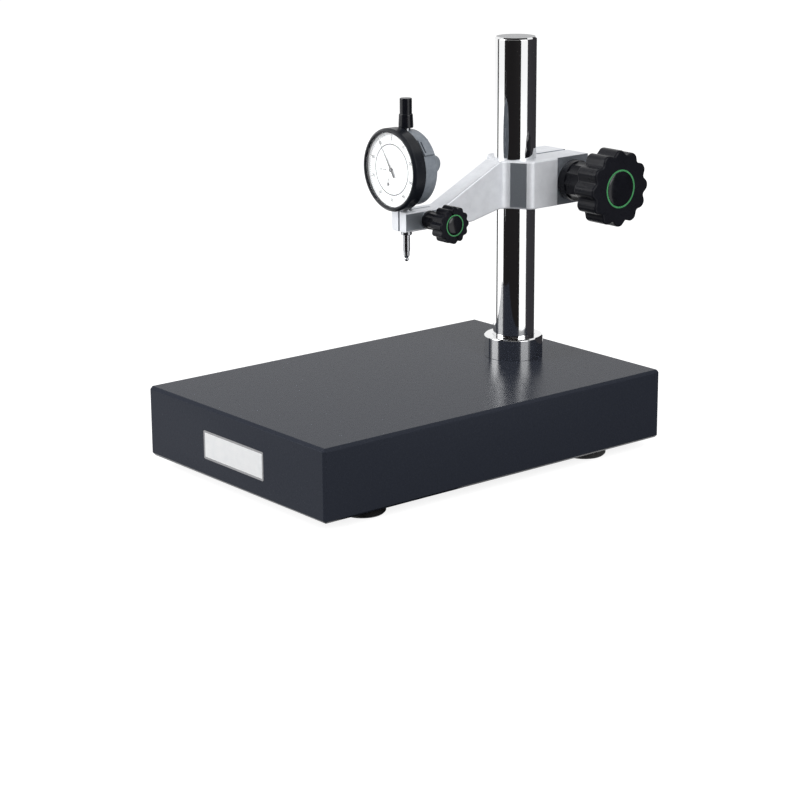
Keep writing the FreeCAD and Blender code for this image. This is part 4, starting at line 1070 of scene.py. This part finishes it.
softbox("left_softbox", azimuth=-122, elevation=25, height=1.1, radiance=5)
right_softbox = softbox("right_softbox", azimuth=5, elevation=25, height=1.1, radiance=3)
right_softbox.visible_diffuse = False
right_fill = softbox("right_fill", azimuth=-8, elevation=35, height=0.8, radiance=5)
right_fill.visible_glossy = False

# %% [markdown]
# Chrome shows the room, so the room has to be arranged. A photographer stands black cards
# round a polished bar, and they give the dark bands between the white ones. The cards
# curve round the column, low at the plate and rising outwards. The one in front starts
# further out, so that the front of the granite still mirrors the pale floor. A narrow
# card draws the thin line. Only glossy rays see them, so they darken reflections and take
# no light from the stand.

# %% Dark cards round the column
CARD_STEPS = 36
LOW_TO_HIGH = ((0.16, 0.001), (0.45, 0.002), (0.9, 0.03), (1.3, 0.2), (1.6, 0.7), (1.7, 1.5))
black_card = new_finish("black_card", (0.014, 0.013, 0.0135), 0.9, specular=0.0)
grey_card = new_finish("grey_card", (0.048, 0.046, 0.052), 0.9, specular=0.0)
CARDS = {
    "card_front": (-104, -68, black_card, LOW_TO_HIGH[1:]),
    "card_behind_camera": (-68, -13, black_card, LOW_TO_HIGH),
    "card_right": (25, 116, grey_card, LOW_TO_HIGH),
    "card_left_line": (-155, -144, black_card, LOW_TO_HIGH),
}


def stage_card(bm, name, finish=black_card):
    """A card that only glossy rays see."""
    mesh = mesh_of(bm, name)
    mesh.materials.append(finish)
    card = put_in_scene(name, mesh)
    card.visible_camera = False
    card.visible_diffuse = False
    card.visible_shadow = False
    card.visible_transmission = False
    card.visible_volume_scatter = False


for name, (start, end, finish, profile) in CARDS.items():
    bm = bmesh.new()
    line = profile_line(bm, profile)
    move(bm, Matrix.Rotation(math.radians(start), 4, "Z"))
    bmesh.ops.spin(bm, geom=line, cent=(0, 0, 0), axis=(0, 0, 1),
                   angle=math.radians(end - start), steps=CARD_STEPS)
    move(bm, Matrix.Translation((column_centre.x, column_centre.y, 0)))
    stage_card(bm, name, finish)

# %% [markdown]
# Two flat cards are left: a black ceiling, which darkens every chamfer that looks up, and
# a strip on the floor beside the plate, which keeps the plate's right side dark.

# %% Ceiling and strip beside the plate
CEILING_HEIGHT = 1.9
CEILING_RADIUS = 1.2
bm = bmesh.new()
bmesh.ops.create_circle(bm, cap_ends=True, radius=CEILING_RADIUS, segments=48)
move(bm, Matrix.Translation((0, 0, CEILING_HEIGHT)))
stage_card(bm, "card_ceiling")

STRIP_WIDTH = 140 * MM
STRIP_LENGTH = stone_high.y - stone_low.y + 100 * MM
STRIP_GAP = 2 * MM
STRIP_PLACE = Vector((stone_high.x + STRIP_GAP + STRIP_WIDTH / 2, 50 * MM, 1.5 * MM))
bm = bmesh.new()
bmesh.ops.create_grid(bm, x_segments=1, y_segments=1, size=0.5)
move(bm, Matrix.Diagonal((STRIP_WIDTH, STRIP_LENGTH, 1, 1)), Matrix.Translation(STRIP_PLACE))
stage_card(bm, "card_beside_plate")
